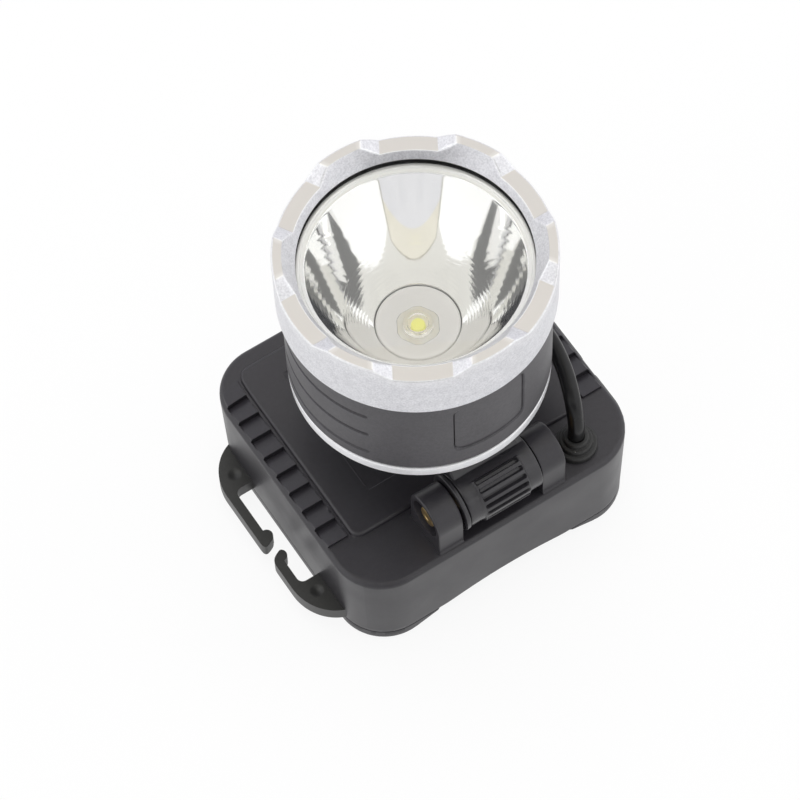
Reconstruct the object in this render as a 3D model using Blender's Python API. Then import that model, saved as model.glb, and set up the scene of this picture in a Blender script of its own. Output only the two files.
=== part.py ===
"""Battery-box cap lamp: a flat battery case worn on the forehead, with a round LED head on a tilting hinge.

The case lies on its back plate at z = 0, with the hinge side at -Y and the lamp looking along +Z.
Everything is in metres. The lamp's axis is the z axis, and the hinge axis runs along x.
"""

from math import acos, asin, atan2, ceil, cos, hypot, pi, radians, sin, sqrt

import bmesh
import bpy
from mathutils import Vector

MM = 0.001

# Clearances: between mating mouldings, and between small fitted pieces.
GAP = 0.3 * MM
FIT = 0.2 * MM

# The cells are the standard size that the case is built round.
CELL_LENGTH = 65.0 * MM
CELL_RADIUS = 9.2 * MM
CELL_SPACING = 0.6 * MM
STRIP_THICKNESS = 0.3 * MM
CRADLE_WALL = 1.7 * MM
CRADLE_RAIL = 0.9 * MM
CELL_LIFT = 0.5 * MM
CELL_HEADROOM = 0.8 * MM

# Battery case.
CASE_WALL = 2.0 * MM
ROOF_THICKNESS = 2.0 * MM
SERVICE_BAY = 12.7 * MM
CASE_CORNER = 12.0 * MM
CASE_DRAFT = 0.5 * MM
SHOULDER_FILLET = 1.1 * MM
PLATEAU_RISE = 1.0 * MM
PLATEAU_SIDE_MARGIN = 6.7 * MM
PLATEAU_FRONT_MARGIN = 14.5 * MM
PLATEAU_REAR_MARGIN = 4.2 * MM
PLATEAU_CORNER = 2.4 * MM
PLATEAU_FILLET = 0.5 * MM
GRIP_TEETH = 9
GRIP_PITCH = 5.3 * MM
GRIP_DEPTH = 0.9 * MM
GRIP_OFFSET = 3.0 * MM
GRIP_RIM = 0.8 * MM

# Back plate.
BACK_RIM = 3.0 * MM
BACK_SPIGOT = 2.4 * MM
BACK_FILLET = 2.2 * MM
BACK_ARCH_RISE = 4.2 * MM
BACK_ARCH_SPAN = 52.0 * MM
CASE_BOSS_RADIUS = 3.2 * MM
CASE_SCREW_RADIUS = 1.25 * MM
CASE_SCREW_HEAD = 2.5 * MM
CASE_SCREW_HEAD_HEIGHT = 1.4 * MM
CASE_SCREW_RECESS = 0.4 * MM
CASE_SCREW_LENGTH = 10.0 * MM

# Strap loops.
SLOT_WIDTH = 4.3 * MM
SLOT_LENGTH = 28.0 * MM
LOOP_BAR = 2.2 * MM
LOOP_BOTTOM = 3.8 * MM
LOOP_THICKNESS = 3.7 * MM
LOOP_OFFSET = 0.6 * MM
LOOP_SHOULDER = 10.6 * MM
LOOP_GAP = 3.0 * MM
LOOP_GAP_OFFSET = -2.7 * MM
LOOP_GAP_SLANT = 1.5 * MM
LOOP_BULB = 1.5 * MM

# Tilt hinge.
HINGE_SETBACK = 7.2 * MM
HINGE_HEIGHT = 8.0 * MM
HINGE_WIDTH = 20.6 * MM
EAR_RADIUS = 5.8 * MM
EAR_THICKNESS = 5.9 * MM
BOLT_RADIUS = 2.0 * MM
BOLT_HEAD_RADIUS = 3.6 * MM
BOLT_HEAD_HEIGHT = 2.4 * MM
NUT_FLATS = 7.0 * MM
NUT_THICKNESS = 2.4 * MM
EAR_DISH_RADIUS = 4.9 * MM
EAR_DISH_DEPTH = 0.7 * MM
WASHER_THICKNESS = 1.0 * MM
WASHER_RADIUS = 6.9 * MM
KNUCKLE_RADIUS = 6.6 * MM
KNUCKLE_GRIP_RADIUS = 7.1 * MM
KNUCKLE_GRIP_WIDTH = 11.6 * MM
KNUCKLE_GRIP_RIBS = 22
BRACKET_WIDTH = 17.0 * MM
BRACKET_PLATE = 4.5 * MM
BRACKET_BOSS_RADIUS = 15.0 * MM
BRACKET_BOSS_HEIGHT = 6.0 * MM
BRACKET_SCREW_RADIUS = 1.5 * MM
BRACKET_SCREW_HEAD = 2.8 * MM
BRACKET_SCREW_HEAD_HEIGHT = 2.0 * MM
BRACKET_SCREW_BITE = 2.2 * MM

# Lamp head, from the back to the front. Heights are counted from the head's rear face.
HEAD_LIFT = 13.8 * MM
BARREL_RADIUS = 28.9 * MM
BARREL_WALL = 2.6 * MM
BASE_RING_SETBACK = 0.1 * MM
BASE_RING_HEIGHT = 3.3 * MM
SPIGOT_HEIGHT = 2.0 * MM
SINK_GROOVE_WIDTH = 3.0 * MM
SINK_GROOVE_DEPTH = 1.2 * MM
COLUMN_HEIGHT = 7.9 * MM
SEAL_HEIGHT = 0.8 * MM
NECK_STEP = 1.1 * MM
BEZEL_WALL = 2.0 * MM
BEZEL_SKIRT = 7.3 * MM
BEZEL_LIP_WIDTH = 2.8 * MM
BEZEL_RIM_WIDTH = 2.2 * MM
BEZEL_EDGE = 0.5 * MM
NOTCHES = 6
NOTCH_DEPTH = 2.4 * MM
NOTCH_FLOOR = 12.1 * MM
NOTCH_SLOPE = 4.1 * MM
GASKET_HEIGHT = 2.6 * MM
GASKET_LIP = 0.4 * MM
LENS_OVERLAP = 0.9 * MM
LENS_DROP = 4.15 * MM
FLANGE_THICKNESS = 1.0 * MM
REFLECTOR_FOCUS = 5.0 * MM
REFLECTOR_RIM = 1.8 * MM
REFLECTOR_THROAT = 9.8 * MM
REFLECTOR_WALL = 1.1 * MM
REFLECTOR_FOOT = 1.1 * MM

# LED and its board.
LED_SPACER_RADIUS = 9.2 * MM
LED_SPACER_THICKNESS = 0.8 * MM
LED_BOARD_THICKNESS = 1.1 * MM
LED_FLATS = 8.0 * MM
LED_BASE_HEIGHT = 1.2 * MM
LED_DOME_RADIUS = 3.3 * MM
LED_CHIP_RADIUS = 1.5 * MM
LED_CHIP_HEIGHT = 0.35 * MM
DRIVER_BOARD_THICKNESS = 1.4 * MM

# Barrel decoration: three grooves on each side and a bare recessed panel in front.
GROOVES = 3
GROOVE_PITCH = 7.65 * MM
GROOVE_HEIGHT = 1.3 * MM
GROOVE_DEPTH = 0.6 * MM
GROOVE_HALF_ANGLE = radians(36.0)
PANEL_HALF_ANGLE = radians(17.7)
PANEL_HEIGHT = 17.4 * MM
PANEL_CORNER = 2.0 * MM
PANEL_DEPTH = 0.35 * MM

# Push switch in the back of the barrel.
BUTTON_RADIUS = 3.9 * MM
BUTTON_TRAVEL = 1.0 * MM
BUTTON_PROUD = 1.0 * MM
BUTTON_FLANGE = 0.9 * MM
BUTTON_FLANGE_THICKNESS = 0.7 * MM
BUTTON_RING_WIDTH = 1.9 * MM
BUTTON_RING_HEIGHT = 1.2 * MM
SWITCH_DEPTH = 6.0 * MM

# Charge socket in the case's rear wall.
SOCKET_WIDTH = 9.0 * MM
SOCKET_HEIGHT = 8.4 * MM
SOCKET_NOSE_RADIUS = 3.6 * MM
SOCKET_BORE_RADIUS = 2.9 * MM
CONTROL_BOARD_THICKNESS = 1.2 * MM
CONTROL_BOARD_WIDTH = 42.0 * MM
FLAP_WIDTH = 11.0 * MM
FLAP_THICKNESS = 1.6 * MM
FLAP_ROLL_RADIUS = 0.9 * MM
FLAP_RECESS = 1.2 * MM
PLUG_LENGTH = 1.6 * MM

# Lead from the case to the head.
LEAD_RADIUS = 1.85 * MM
GROMMET_OFFSET = 23.3 * MM
GROMMET_RADII = (4.85 * MM, 3.8 * MM, 2.9 * MM)
GROMMET_STEP = 1.35 * MM
GLAND_RADIUS = 3.1 * MM
GLAND_REACH = 4.4 * MM

HEAD_SEGMENTS = 40
BODY_SEGMENTS = 26
SMALL_SEGMENTS = 14

# Case sizes that follow from the cells.
CELL_PITCH = 2 * CELL_RADIUS + CELL_SPACING
CELL_END_SPACE = 2 * FIT + STRIP_THICKNESS
CASE_HALF_WIDTH = CELL_LENGTH / 2 + CELL_END_SPACE + CRADLE_WALL + GAP + CASE_WALL
CRADLE_HALF_DEPTH = CELL_PITCH / 2 + CELL_RADIUS + FIT + CRADLE_RAIL
CASE_HALF_DEPTH = CRADLE_HALF_DEPTH + SERVICE_BAY + CASE_WALL
BACK_TOP = BACK_RIM + BACK_SPIGOT
CELL_AXIS_Z = BACK_TOP + GAP + CELL_LIFT + CELL_RADIUS
CAVITY_TOP = CELL_AXIS_Z + CELL_RADIUS + CELL_HEADROOM
SHOULDER_Z = CAVITY_TOP + ROOF_THICKNESS
PLATEAU_Z = SHOULDER_Z + PLATEAU_RISE
INNER_CORNER = CASE_CORNER - CASE_WALL

# Hinge and head places.
HINGE_Y = HINGE_SETBACK - CASE_HALF_DEPTH
HINGE_Z = SHOULDER_Z + HINGE_HEIGHT
HEAD_Z = HINGE_Z + HEAD_LIFT
BASE_RING_RADIUS = BARREL_RADIUS - BASE_RING_SETBACK
BARREL_BORE = BARREL_RADIUS - BARREL_WALL
NECK_RADIUS = BARREL_RADIUS - NECK_STEP
BEZEL_BORE = NECK_RADIUS + FIT
BEZEL_RADIUS = BEZEL_BORE + BEZEL_WALL
BEZEL_LIP_RADIUS = BEZEL_BORE - BEZEL_LIP_WIDTH
BEZEL_MOUTH_RADIUS = BEZEL_RADIUS - BEZEL_RIM_WIDTH
REFLECTOR_MOUTH = BEZEL_LIP_RADIUS - REFLECTOR_RIM

# Heights in the head: each piece stands on the one behind it.
BARREL_BOTTOM_Z = HEAD_Z + BASE_RING_HEIGHT + GAP
COLUMN_TOP_Z = HEAD_Z + BASE_RING_HEIGHT + SPIGOT_HEIGHT + COLUMN_HEIGHT
COLUMN_RADIUS = REFLECTOR_THROAT + REFLECTOR_WALL
LED_BOARD_Z = COLUMN_TOP_Z + FIT
LED_Z = LED_BOARD_Z + LED_BOARD_THICKNESS + FIT
REFLECTOR_FOOT_Z = LED_BOARD_Z + LED_BOARD_THICKNESS + GAP
REFLECTOR_ORIGIN_Z = REFLECTOR_FOOT_Z + REFLECTOR_FOOT - REFLECTOR_THROAT**2 / (4 * REFLECTOR_FOCUS)
REFLECTOR_MOUTH_Z = REFLECTOR_ORIGIN_Z + REFLECTOR_MOUTH**2 / (4 * REFLECTOR_FOCUS)
FLANGE_Z = REFLECTOR_MOUTH_Z - FLANGE_THICKNESS
NECK_TOP_Z = FLANGE_Z - FIT
BARREL_TOP_Z = NECK_TOP_Z - BEZEL_SKIRT
GASKET_Z = REFLECTOR_MOUTH_Z + FIT
LIP_Z = GASKET_Z + GASKET_HEIGHT + FIT
HEAD_TOP_Z = LIP_Z + LENS_DROP
BUTTON_Z = (BARREL_BOTTOM_Z + BARREL_TOP_Z) / 2
GROMMET_Y = HINGE_Y + 0.3 * MM
SOCKET_Z = BACK_TOP + GAP + CONTROL_BOARD_THICKNESS + FIT + SOCKET_HEIGHT / 2


def clear_scene():
    for old in list(bpy.data.objects):
        bpy.data.objects.remove(old, do_unlink=True)


def finish(name, colour, roughness, metallic=0.0, transmission=0.0):
    surface = bpy.data.materials.new(name)
    surface.use_nodes = True
    shader = surface.node_tree.nodes["Principled BSDF"]
    shader.inputs["Base Color"].default_value = (*colour, 1.0)
    shader.inputs["Roughness"].default_value = roughness
    shader.inputs["Metallic"].default_value = metallic
    shader.inputs["Transmission Weight"].default_value = transmission
    surface.diffuse_color = (*colour, 1.0)
    return surface


# Shape helpers. Each returns a bmesh in the piece's own frame.


def along(axis, u, v, w):
    """A point with w along the named axis and u, v across it, in right-handed order."""
    return {"X": (w, u, v), "Y": (v, w, u), "Z": (u, v, w)}[axis]


def prism(outline, low, high, axis="Z"):
    """The outline, a list of (u, v), extruded along the axis."""
    shape = bmesh.new()
    base = shape.faces.new([shape.verts.new(along(axis, u, v, low)) for u, v in outline])
    grown = bmesh.ops.extrude_face_region(shape, geom=[base])["geom"]
    raised = [item for item in grown if isinstance(item, bmesh.types.BMVert)]
    bmesh.ops.translate(shape, verts=raised, vec=Vector(along(axis, 0, 0, high - low)))
    bmesh.ops.recalc_face_normals(shape, faces=shape.faces)
    return shape


def turned(profile, segments=SMALL_SEGMENTS, axis="Z"):
    """The closed profile, a list of (radius, height), spun round the axis."""
    shape = bmesh.new()
    points = [shape.verts.new((radius, 0, height)) for radius, height in profile]
    for start, end in zip(points, points[1:] + points[:1]):
        if start.co.x > 0 or end.co.x > 0:
            shape.edges.new((start, end))
    bmesh.ops.spin(
        shape,
        geom=shape.verts[:] + shape.edges[:],
        cent=(0, 0, 0),
        axis=(0, 0, 1),
        angle=2 * pi,
        steps=segments,
        use_merge=True,
    )
    bmesh.ops.remove_doubles(shape, verts=shape.verts, dist=1e-7)
    for point in shape.verts:
        point.co = along(axis, *point.co)
    bmesh.ops.recalc_face_normals(shape, faces=shape.faces)
    return shape


def lofted(rings):
    """A closed solid through rings that have the same number of points."""
    shape = bmesh.new()
    loops = [[shape.verts.new(point) for point in ring] for ring in rings]
    for lower, upper in zip(loops, loops[1:]):
        for i in range(len(lower)):
            shape.faces.new((lower[i - 1], lower[i], upper[i], upper[i - 1]))
    shape.faces.new(loops[0][::-1])
    shape.faces.new(loops[-1])
    bmesh.ops.recalc_face_normals(shape, faces=shape.faces)
    return shape


def box(low, high):
    outline = [(low[0], low[1]), (high[0], low[1]), (high[0], high[1]), (low[0], high[1])]
    return prism(outline, low[2], high[2])


def moved(shape, x=0.0, y=0.0, z=0.0):
    bmesh.ops.translate(shape, verts=shape.verts, vec=(x, y, z))
    return shape


def gathered(shapes):
    """Separate closed shapes in one bmesh, for a cutter or a union of several at once."""
    whole = bmesh.new()
    for shape in shapes:
        part = bpy.data.meshes.new("part")
        shape.to_mesh(part)
        shape.free()
        whole.from_mesh(part)
        bpy.data.meshes.remove(part)
    return whole


def arc(centre, radius, start, end, steps):
    """Points of an arc from one angle to another, both in degrees."""
    angles = [radians(start + (end - start) * i / steps) for i in range(steps + 1)]
    return [(centre[0] + radius * cos(a), centre[1] + radius * sin(a)) for a in angles]


def rounded_rectangle(half_x, half_y, corner, steps=5):
    outline = []
    for i, (side_x, side_y) in enumerate([(1, 1), (-1, 1), (-1, -1), (1, -1)]):
        centre = (side_x * (half_x - corner), side_y * (half_y - corner))
        outline += arc(centre, corner, 90 * i, 90 * i + 90, steps)
    return outline


def hexagon(flats):
    return arc((0, 0), flats / sqrt(3), 0, 300, 5)


def at_height(outline, z, x=0.0, y=0.0):
    return [(u + x, v + y, z) for u, v in outline]


def fillet_steps(radius, steps):
    """(inset, rise) pairs round a convex edge, from the wall to the top."""
    angles = [pi / 2 * i / steps for i in range(steps + 1)]
    return [(radius * (1 - cos(a)), radius * sin(a)) for a in angles]


# Scene helpers.


def piece(name, shape, surface, place=(0, 0, 0), pivot=None):
    """A named object at a place in the world, hung on a pivot where one is given."""
    mesh = bpy.data.meshes.new(name)
    shape.to_mesh(mesh)
    shape.free()
    mesh.materials.append(surface)
    mesh.shade_smooth()
    mesh.set_sharp_from_angle(angle=radians(35))
    made = bpy.data.objects.new(name, mesh)
    bpy.context.scene.collection.objects.link(made)
    made.location = Vector(place)
    if pivot:
        made.parent = pivot
        made.location = Vector(place) - pivot.location
    return made


def shaped(target, operation, name, shape, place=(0, 0, 0)):
    """Adds or removes a shape with a Boolean, whose operand stays in the scene as a guide."""
    guide = piece(name, shape, target.data.materials[0], place)
    guide.hide_render = True
    guide.display_type = "WIRE"
    change = target.modifiers.new(name, "BOOLEAN")
    change.operation = operation
    change.solver = "EXACT"
    change.object = guide


def cut(target, name, shape, place=(0, 0, 0)):
    shaped(target, "DIFFERENCE", name, shape, place)


def join(target, name, shape, place=(0, 0, 0)):
    shaped(target, "UNION", name, shape, place)


def pivot_at(name, place):
    pivot = bpy.data.objects.new(name, None)
    pivot.empty_display_size = 0.01
    pivot.location = place
    bpy.context.scene.collection.objects.link(pivot)
    bpy.context.view_layer.update()
    return pivot


# Battery case.


def case_outline(inset):
    corner = CASE_CORNER - inset
    return rounded_rectangle(CASE_HALF_WIDTH - inset, CASE_HALF_DEPTH - inset, corner)


def screw_places():
    """The four case screws, on the diagonals of the case's corners."""
    reach = (INNER_CORNER - 0.75 * CASE_BOSS_RADIUS) * cos(pi / 4)
    x = CASE_HALF_WIDTH - CASE_CORNER + reach
    y = CASE_HALF_DEPTH - CASE_CORNER + reach
    return [(side_x * x, side_y * y) for side_y in (-1, 1) for side_x in (-1, 1)]


def forehead_arch():
    """The space that the case's back leaves for the forehead, as a cutter along Y."""
    half_span = BACK_ARCH_SPAN / 2
    radius = (half_span**2 + BACK_ARCH_RISE**2) / (2 * BACK_ARCH_RISE)
    half_angle = asin(half_span / radius) * 180 / pi
    arch = arc((0, BACK_ARCH_RISE - radius), radius, 90 - half_angle, 90 + half_angle, 12)
    arch += [(-half_span, -BACK_RIM), (half_span, -BACK_RIM)]
    past = CASE_HALF_DEPTH + GAP
    return prism([(z, x) for x, z in arch], -past, past, axis="Y")


def plateau_shape():
    half_x = CASE_HALF_WIDTH - PLATEAU_SIDE_MARGIN
    half_y = CASE_HALF_DEPTH - (PLATEAU_FRONT_MARGIN + PLATEAU_REAR_MARGIN) / 2
    shift = (PLATEAU_FRONT_MARGIN - PLATEAU_REAR_MARGIN) / 2
    outline = rounded_rectangle(half_x, half_y, PLATEAU_CORNER, 4)
    rings = [at_height(outline, SHOULDER_Z - ROOF_THICKNESS / 4, y=shift)]
    for inset, rise in fillet_steps(PLATEAU_FILLET, 2):
        corner = PLATEAU_CORNER - inset
        inner = rounded_rectangle(half_x - inset, half_y - inset, corner, 4)
        rings.append(at_height(inner, PLATEAU_Z - PLATEAU_FILLET + rise, y=shift))
    return lofted(rings)


def ear_shape(side):
    """One hinge ear: a D standing on the shoulder, round about the hinge axis."""
    inner = HINGE_WIDTH / 2
    outline = [(HINGE_Y + EAR_RADIUS, SHOULDER_Z - ROOF_THICKNESS / 4)]
    outline += arc((HINGE_Y, HINGE_Z), EAR_RADIUS, 0, 180, 12)
    outline += [(HINGE_Y - EAR_RADIUS, SHOULDER_Z - ROOF_THICKNESS / 4)]
    ends = sorted([side * inner, side * (inner + EAR_THICKNESS)])
    return prism(outline, *ends, axis="X")


def hook_outline(side_y):
    """Half of a strap loop, as far as the slanted gap in its outer bar, for the +X side."""
    wall = CASE_HALF_WIDTH - CASE_WALL / 2
    slot_outer = CASE_HALF_WIDTH + SLOT_WIDTH
    outer = slot_outer + LOOP_BAR
    slot_end = LOOP_OFFSET + side_y * SLOT_LENGTH / 2
    gap_inner = LOOP_GAP_OFFSET + side_y * LOOP_GAP / 2 + LOOP_GAP_SLANT / 2
    gap_outer = gap_inner - LOOP_GAP_SLANT
    bend = (outer - LOOP_SHOULDER, slot_end)
    wall_angle = acos((wall - bend[0]) / LOOP_SHOULDER) * 180 / pi
    bulb = (slot_outer, gap_inner + side_y * LOOP_BULB)
    outline = arc(bend, LOOP_SHOULDER, side_y * wall_angle, 0, 6)
    outline += [(outer, gap_outer), (slot_outer - 0.6 * LOOP_BULB, gap_inner)]
    outline += arc(bulb, LOOP_BULB, 180 + side_y * 40, 180 - side_y * 90, 5)
    round_end = (slot_outer - LOOP_BULB, slot_end - side_y * LOOP_BULB)
    outline += arc(round_end, LOOP_BULB, 0, side_y * 90, 3)
    outline += [(wall, slot_end)]
    return outline


def strap_loops():
    hooks = []
    for side_x in (-1, 1):
        for side_y in (-1, 1):
            outline = [(side_x * x, y) for x, y in hook_outline(side_y)]
            hooks.append(prism(outline, LOOP_BOTTOM, LOOP_BOTTOM + LOOP_THICKNESS))
    return gathered(hooks)


def grip_cutters():
    """Sawteeth in both shoulders: each has an upright wall that faces the hinge side."""
    inner = CASE_HALF_WIDTH - PLATEAU_SIDE_MARGIN + FIT
    outer = CASE_HALF_WIDTH - GRIP_RIM
    run = 0.92 * GRIP_PITCH
    teeth = []
    for i in range(GRIP_TEETH):
        wall_y = GRIP_OFFSET + (i - (GRIP_TEETH - 1) / 2) * GRIP_PITCH
        top = SHOULDER_Z + PLATEAU_RISE / 2
        tooth = [(wall_y, SHOULDER_Z - GRIP_DEPTH), (wall_y, top)]
        tooth += [(wall_y - run, top), (wall_y - run, SHOULDER_Z)]
        for side in (-1, 1):
            ends = sorted([side * inner, side * outer])
            teeth.append(prism(tooth, *ends, axis="X"))
    return gathered(teeth)


def case_bosses():
    """Posts down from the roof into the cavity's corners, each with a blind pilot hole."""
    low = BACK_TOP + GAP
    high = CAVITY_TOP + ROOF_THICKNESS / 2
    bore = CASE_SCREW_RADIUS + FIT
    bore_top = CASE_SCREW_RECESS + CASE_SCREW_HEAD_HEIGHT + CASE_SCREW_LENGTH + GAP
    profile = [(bore, low), (CASE_BOSS_RADIUS, low), (CASE_BOSS_RADIUS, high)]
    profile += [(0, high), (0, bore_top), (bore, bore_top)]
    return [moved(turned(profile), x, y) for x, y in screw_places()]


def case_top(surface):
    rings = [at_height(case_outline(CASE_DRAFT), BACK_RIM + GAP)]
    for inset, rise in fillet_steps(SHOULDER_FILLET, 2):
        rings.append(at_height(case_outline(inset), SHOULDER_Z - SHOULDER_FILLET + rise))
    case = piece("case_top", lofted(rings), surface)
    join(case, "guide_plateau", plateau_shape())
    join(case, "guide_ears", gathered([ear_shape(-1), ear_shape(1)]))
    join(case, "guide_strap_loops", strap_loops())
    cavity = prism(case_outline(CASE_WALL), 0, CAVITY_TOP)
    cut(case, "guide_cavity", cavity)
    cut(case, "guide_wall_arch", forehead_arch())
    join(case, "guide_bosses", gathered(case_bosses()))
    cut(case, "guide_grip", grip_cutters())
    cut_hinge_bores(case)
    cut_grommet_hole(case)
    cut_charge_port(case)
    return case


def cut_hinge_bores(case):
    outer = HINGE_WIDTH / 2 + EAR_THICKNESS
    hole = BOLT_RADIUS + FIT
    past = outer + GAP
    bore = [(0, -past), (hole, -past), (hole, past), (0, past)]
    cut(case, "guide_bolt_hole", turned(bore, axis="X"), (0, HINGE_Y, HINGE_Z))
    nut_floor = EAR_DISH_DEPTH + NUT_THICKNESS + GAP
    pocket = prism(hexagon(NUT_FLATS + 2 * FIT), -past, nut_floor - outer, axis="X")
    cut(case, "guide_nut_pocket", pocket, (0, HINGE_Y, HINGE_Z))
    head_floor = EAR_DISH_DEPTH + BOLT_HEAD_HEIGHT + GAP
    seat = BOLT_HEAD_RADIUS + FIT
    recess = [(0, outer - head_floor), (seat, outer - head_floor), (seat, past), (0, past)]
    cut(case, "guide_head_recess", turned(recess, axis="X"), (0, HINGE_Y, HINGE_Z))
    dishes = []
    for side in (-1, 1):
        ends = sorted([side * (outer - EAR_DISH_DEPTH), side * past])
        dish = [(0, ends[0]), (EAR_DISH_RADIUS, ends[0]), (EAR_DISH_RADIUS, ends[1]), (0, ends[1])]
        dishes.append(turned(dish, axis="X"))
    cut(case, "guide_ear_dishes", gathered(dishes), (0, HINGE_Y, HINGE_Z))


def cut_grommet_hole(case):
    radius = GROMMET_RADII[2] + FIT
    hole = [(0, CAVITY_TOP - GAP), (radius, CAVITY_TOP - GAP), (radius, PLATEAU_Z), (0, PLATEAU_Z)]
    cut(case, "guide_grommet_hole", turned(hole), (GROMMET_OFFSET, GROMMET_Y, 0))


def cut_charge_port(case):
    wall = CASE_HALF_DEPTH
    radius = SOCKET_NOSE_RADIUS + FIT
    hole = [(0, wall - 2 * CASE_WALL), (radius, wall - 2 * CASE_WALL), (radius, wall + GAP), (0, wall + GAP)]
    cut(case, "guide_port_hole", turned(hole, axis="Y"), (0, 0, SOCKET_Z))
    half = FLAP_WIDTH / 2 + GAP
    high = half + 2 * FLAP_ROLL_RADIUS
    low_corner = (-half, wall - FLAP_RECESS, SOCKET_Z - half)
    high_corner = (half, wall + GAP, SOCKET_Z + high)
    cut(case, "guide_flap_recess", box(low_corner, high_corner))


def back_plate(surface):
    rings = []
    for inset, drop in reversed(fillet_steps(BACK_FILLET, 2)):
        rings.append(at_height(case_outline(CASE_DRAFT + inset), BACK_FILLET - drop))
    rings.append(at_height(case_outline(CASE_DRAFT), BACK_RIM))
    plate = piece("back_plate", lofted(rings), surface)
    spigot = prism(case_outline(CASE_WALL + GAP), BACK_RIM / 2, BACK_TOP)
    join(plate, "guide_spigot", spigot)
    cut(plate, "guide_plate_arch", forehead_arch())
    holes = []
    for x, y in screw_places():
        hole = CASE_SCREW_RADIUS + FIT
        seat = CASE_SCREW_HEAD + FIT
        floor = CASE_SCREW_RECESS + CASE_SCREW_HEAD_HEIGHT + FIT
        profile = [(0, -GAP), (seat, -GAP), (seat, floor), (hole, floor), (hole, BACK_TOP + GAP)]
        profile += [(0, BACK_TOP + GAP)]
        holes.append(moved(turned(profile), x, y))
    cut(plate, "guide_screw_holes", gathered(holes))
    return plate


def case_screws(surface):
    """Round-headed self-tapping screws, put in from the back."""
    for i, (x, y) in enumerate(screw_places()):
        head_top = CASE_SCREW_RECESS + CASE_SCREW_HEAD_HEIGHT
        tip = head_top + CASE_SCREW_LENGTH
        profile = [(0, CASE_SCREW_RECESS), (0.7 * CASE_SCREW_HEAD, CASE_SCREW_RECESS)]
        profile += [(CASE_SCREW_HEAD, CASE_SCREW_RECESS + 0.45 * CASE_SCREW_HEAD_HEIGHT)]
        profile += [(CASE_SCREW_HEAD, head_top), (CASE_SCREW_RADIUS, head_top)]
        profile += [(CASE_SCREW_RADIUS, tip - CASE_SCREW_RADIUS), (0, tip)]
        piece(f"case_screw_{i + 1}", turned(profile, 12), surface, (x, y, 0))


# Battery and boards inside the case.


def cell_axes():
    return [-CELL_PITCH / 2, CELL_PITCH / 2]


def cells(surface):
    """Two cylindrical cells side by side, with the crimped button end at +X."""
    half = CELL_LENGTH / 2
    edge = 0.6 * MM
    shoulder = 1.2 * MM
    profile = [(0, -half), (CELL_RADIUS - edge, -half), (CELL_RADIUS, -half + edge)]
    profile += [(CELL_RADIUS, half - 4.5 * MM), (CELL_RADIUS - edge, half - 4.0 * MM)]
    profile += [(CELL_RADIUS, half - 3.5 * MM), (CELL_RADIUS, half - shoulder - edge)]
    profile += [(CELL_RADIUS - edge, half - shoulder), (0.4 * CELL_RADIUS, half - shoulder)]
    profile += [(0.35 * CELL_RADIUS, half), (0, half)]
    for i, y in enumerate(cell_axes()):
        shape = turned(profile, axis="X")
        piece(f"battery_cell_{i + 1}", shape, surface, (0, y, CELL_AXIS_Z))


def cell_strips(surface):
    """A welded contact strip across both cells at each end."""
    outline = rounded_rectangle(CELL_PITCH / 2 + 0.45 * CELL_RADIUS, 0.45 * CELL_RADIUS, 0.3 * CELL_RADIUS, 3)
    start = CELL_LENGTH / 2 + FIT
    for name, side in (("contact_strip_negative", -1), ("contact_strip_positive", 1)):
        ends = sorted([side * start, side * (start + STRIP_THICKNESS)])
        piece(name, prism(outline, *ends, axis="X"), surface, (0, 0, CELL_AXIS_Z))


def cell_cradle(surface):
    """An open moulded tray: two end walls and three rails that the cells lie between."""
    inner = CELL_LENGTH / 2 + CELL_END_SPACE
    outer = inner + CRADLE_WALL
    low = BACK_TOP + GAP
    tray = box((-outer, -CRADLE_HALF_DEPTH, low), (outer, CRADLE_HALF_DEPTH, CELL_AXIS_Z))
    cradle = piece("cell_cradle", tray, surface)
    radius = CELL_RADIUS + FIT
    trough = [(0, -inner), (radius, -inner), (radius, inner), (0, inner)]
    troughs = [moved(turned(trough, BODY_SEGMENTS, axis="X"), 0, y, CELL_AXIS_Z) for y in cell_axes()]
    for i, shape in enumerate(troughs):
        cut(cradle, f"guide_trough_{i + 1}", shape)
    shelf = CELL_AXIS_Z - 0.6 * CELL_RADIUS
    window = box((-inner, -CRADLE_HALF_DEPTH - GAP, shelf), (inner, CRADLE_HALF_DEPTH + GAP, CELL_AXIS_Z + GAP))
    cut(cradle, "guide_cradle_rail_height", window)
    return cradle


def control_board(surface):
    """The charge and protection board, with its two larger parts."""
    front = CRADLE_HALF_DEPTH + GAP
    rear = CASE_HALF_DEPTH - CASE_WALL - GAP
    low = BACK_TOP + GAP
    top = low + CONTROL_BOARD_THICKNESS
    half = CONTROL_BOARD_WIDTH / 2
    board = piece("control_board", box((-half, front, low), (half, rear, top)), surface)
    deep = top - CONTROL_BOARD_THICKNESS / 2
    middle = (front + rear) / 2
    chips = [box((-0.85 * half, middle - 2 * MM, deep), (-0.45 * half, middle + 2 * MM, top + 1.3 * MM))]
    chips += [box((0.5 * half, middle - 3 * MM, deep), (0.8 * half, middle + 3 * MM, top + 2.4 * MM))]
    join(board, "guide_board_parts", gathered(chips))
    return board


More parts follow.
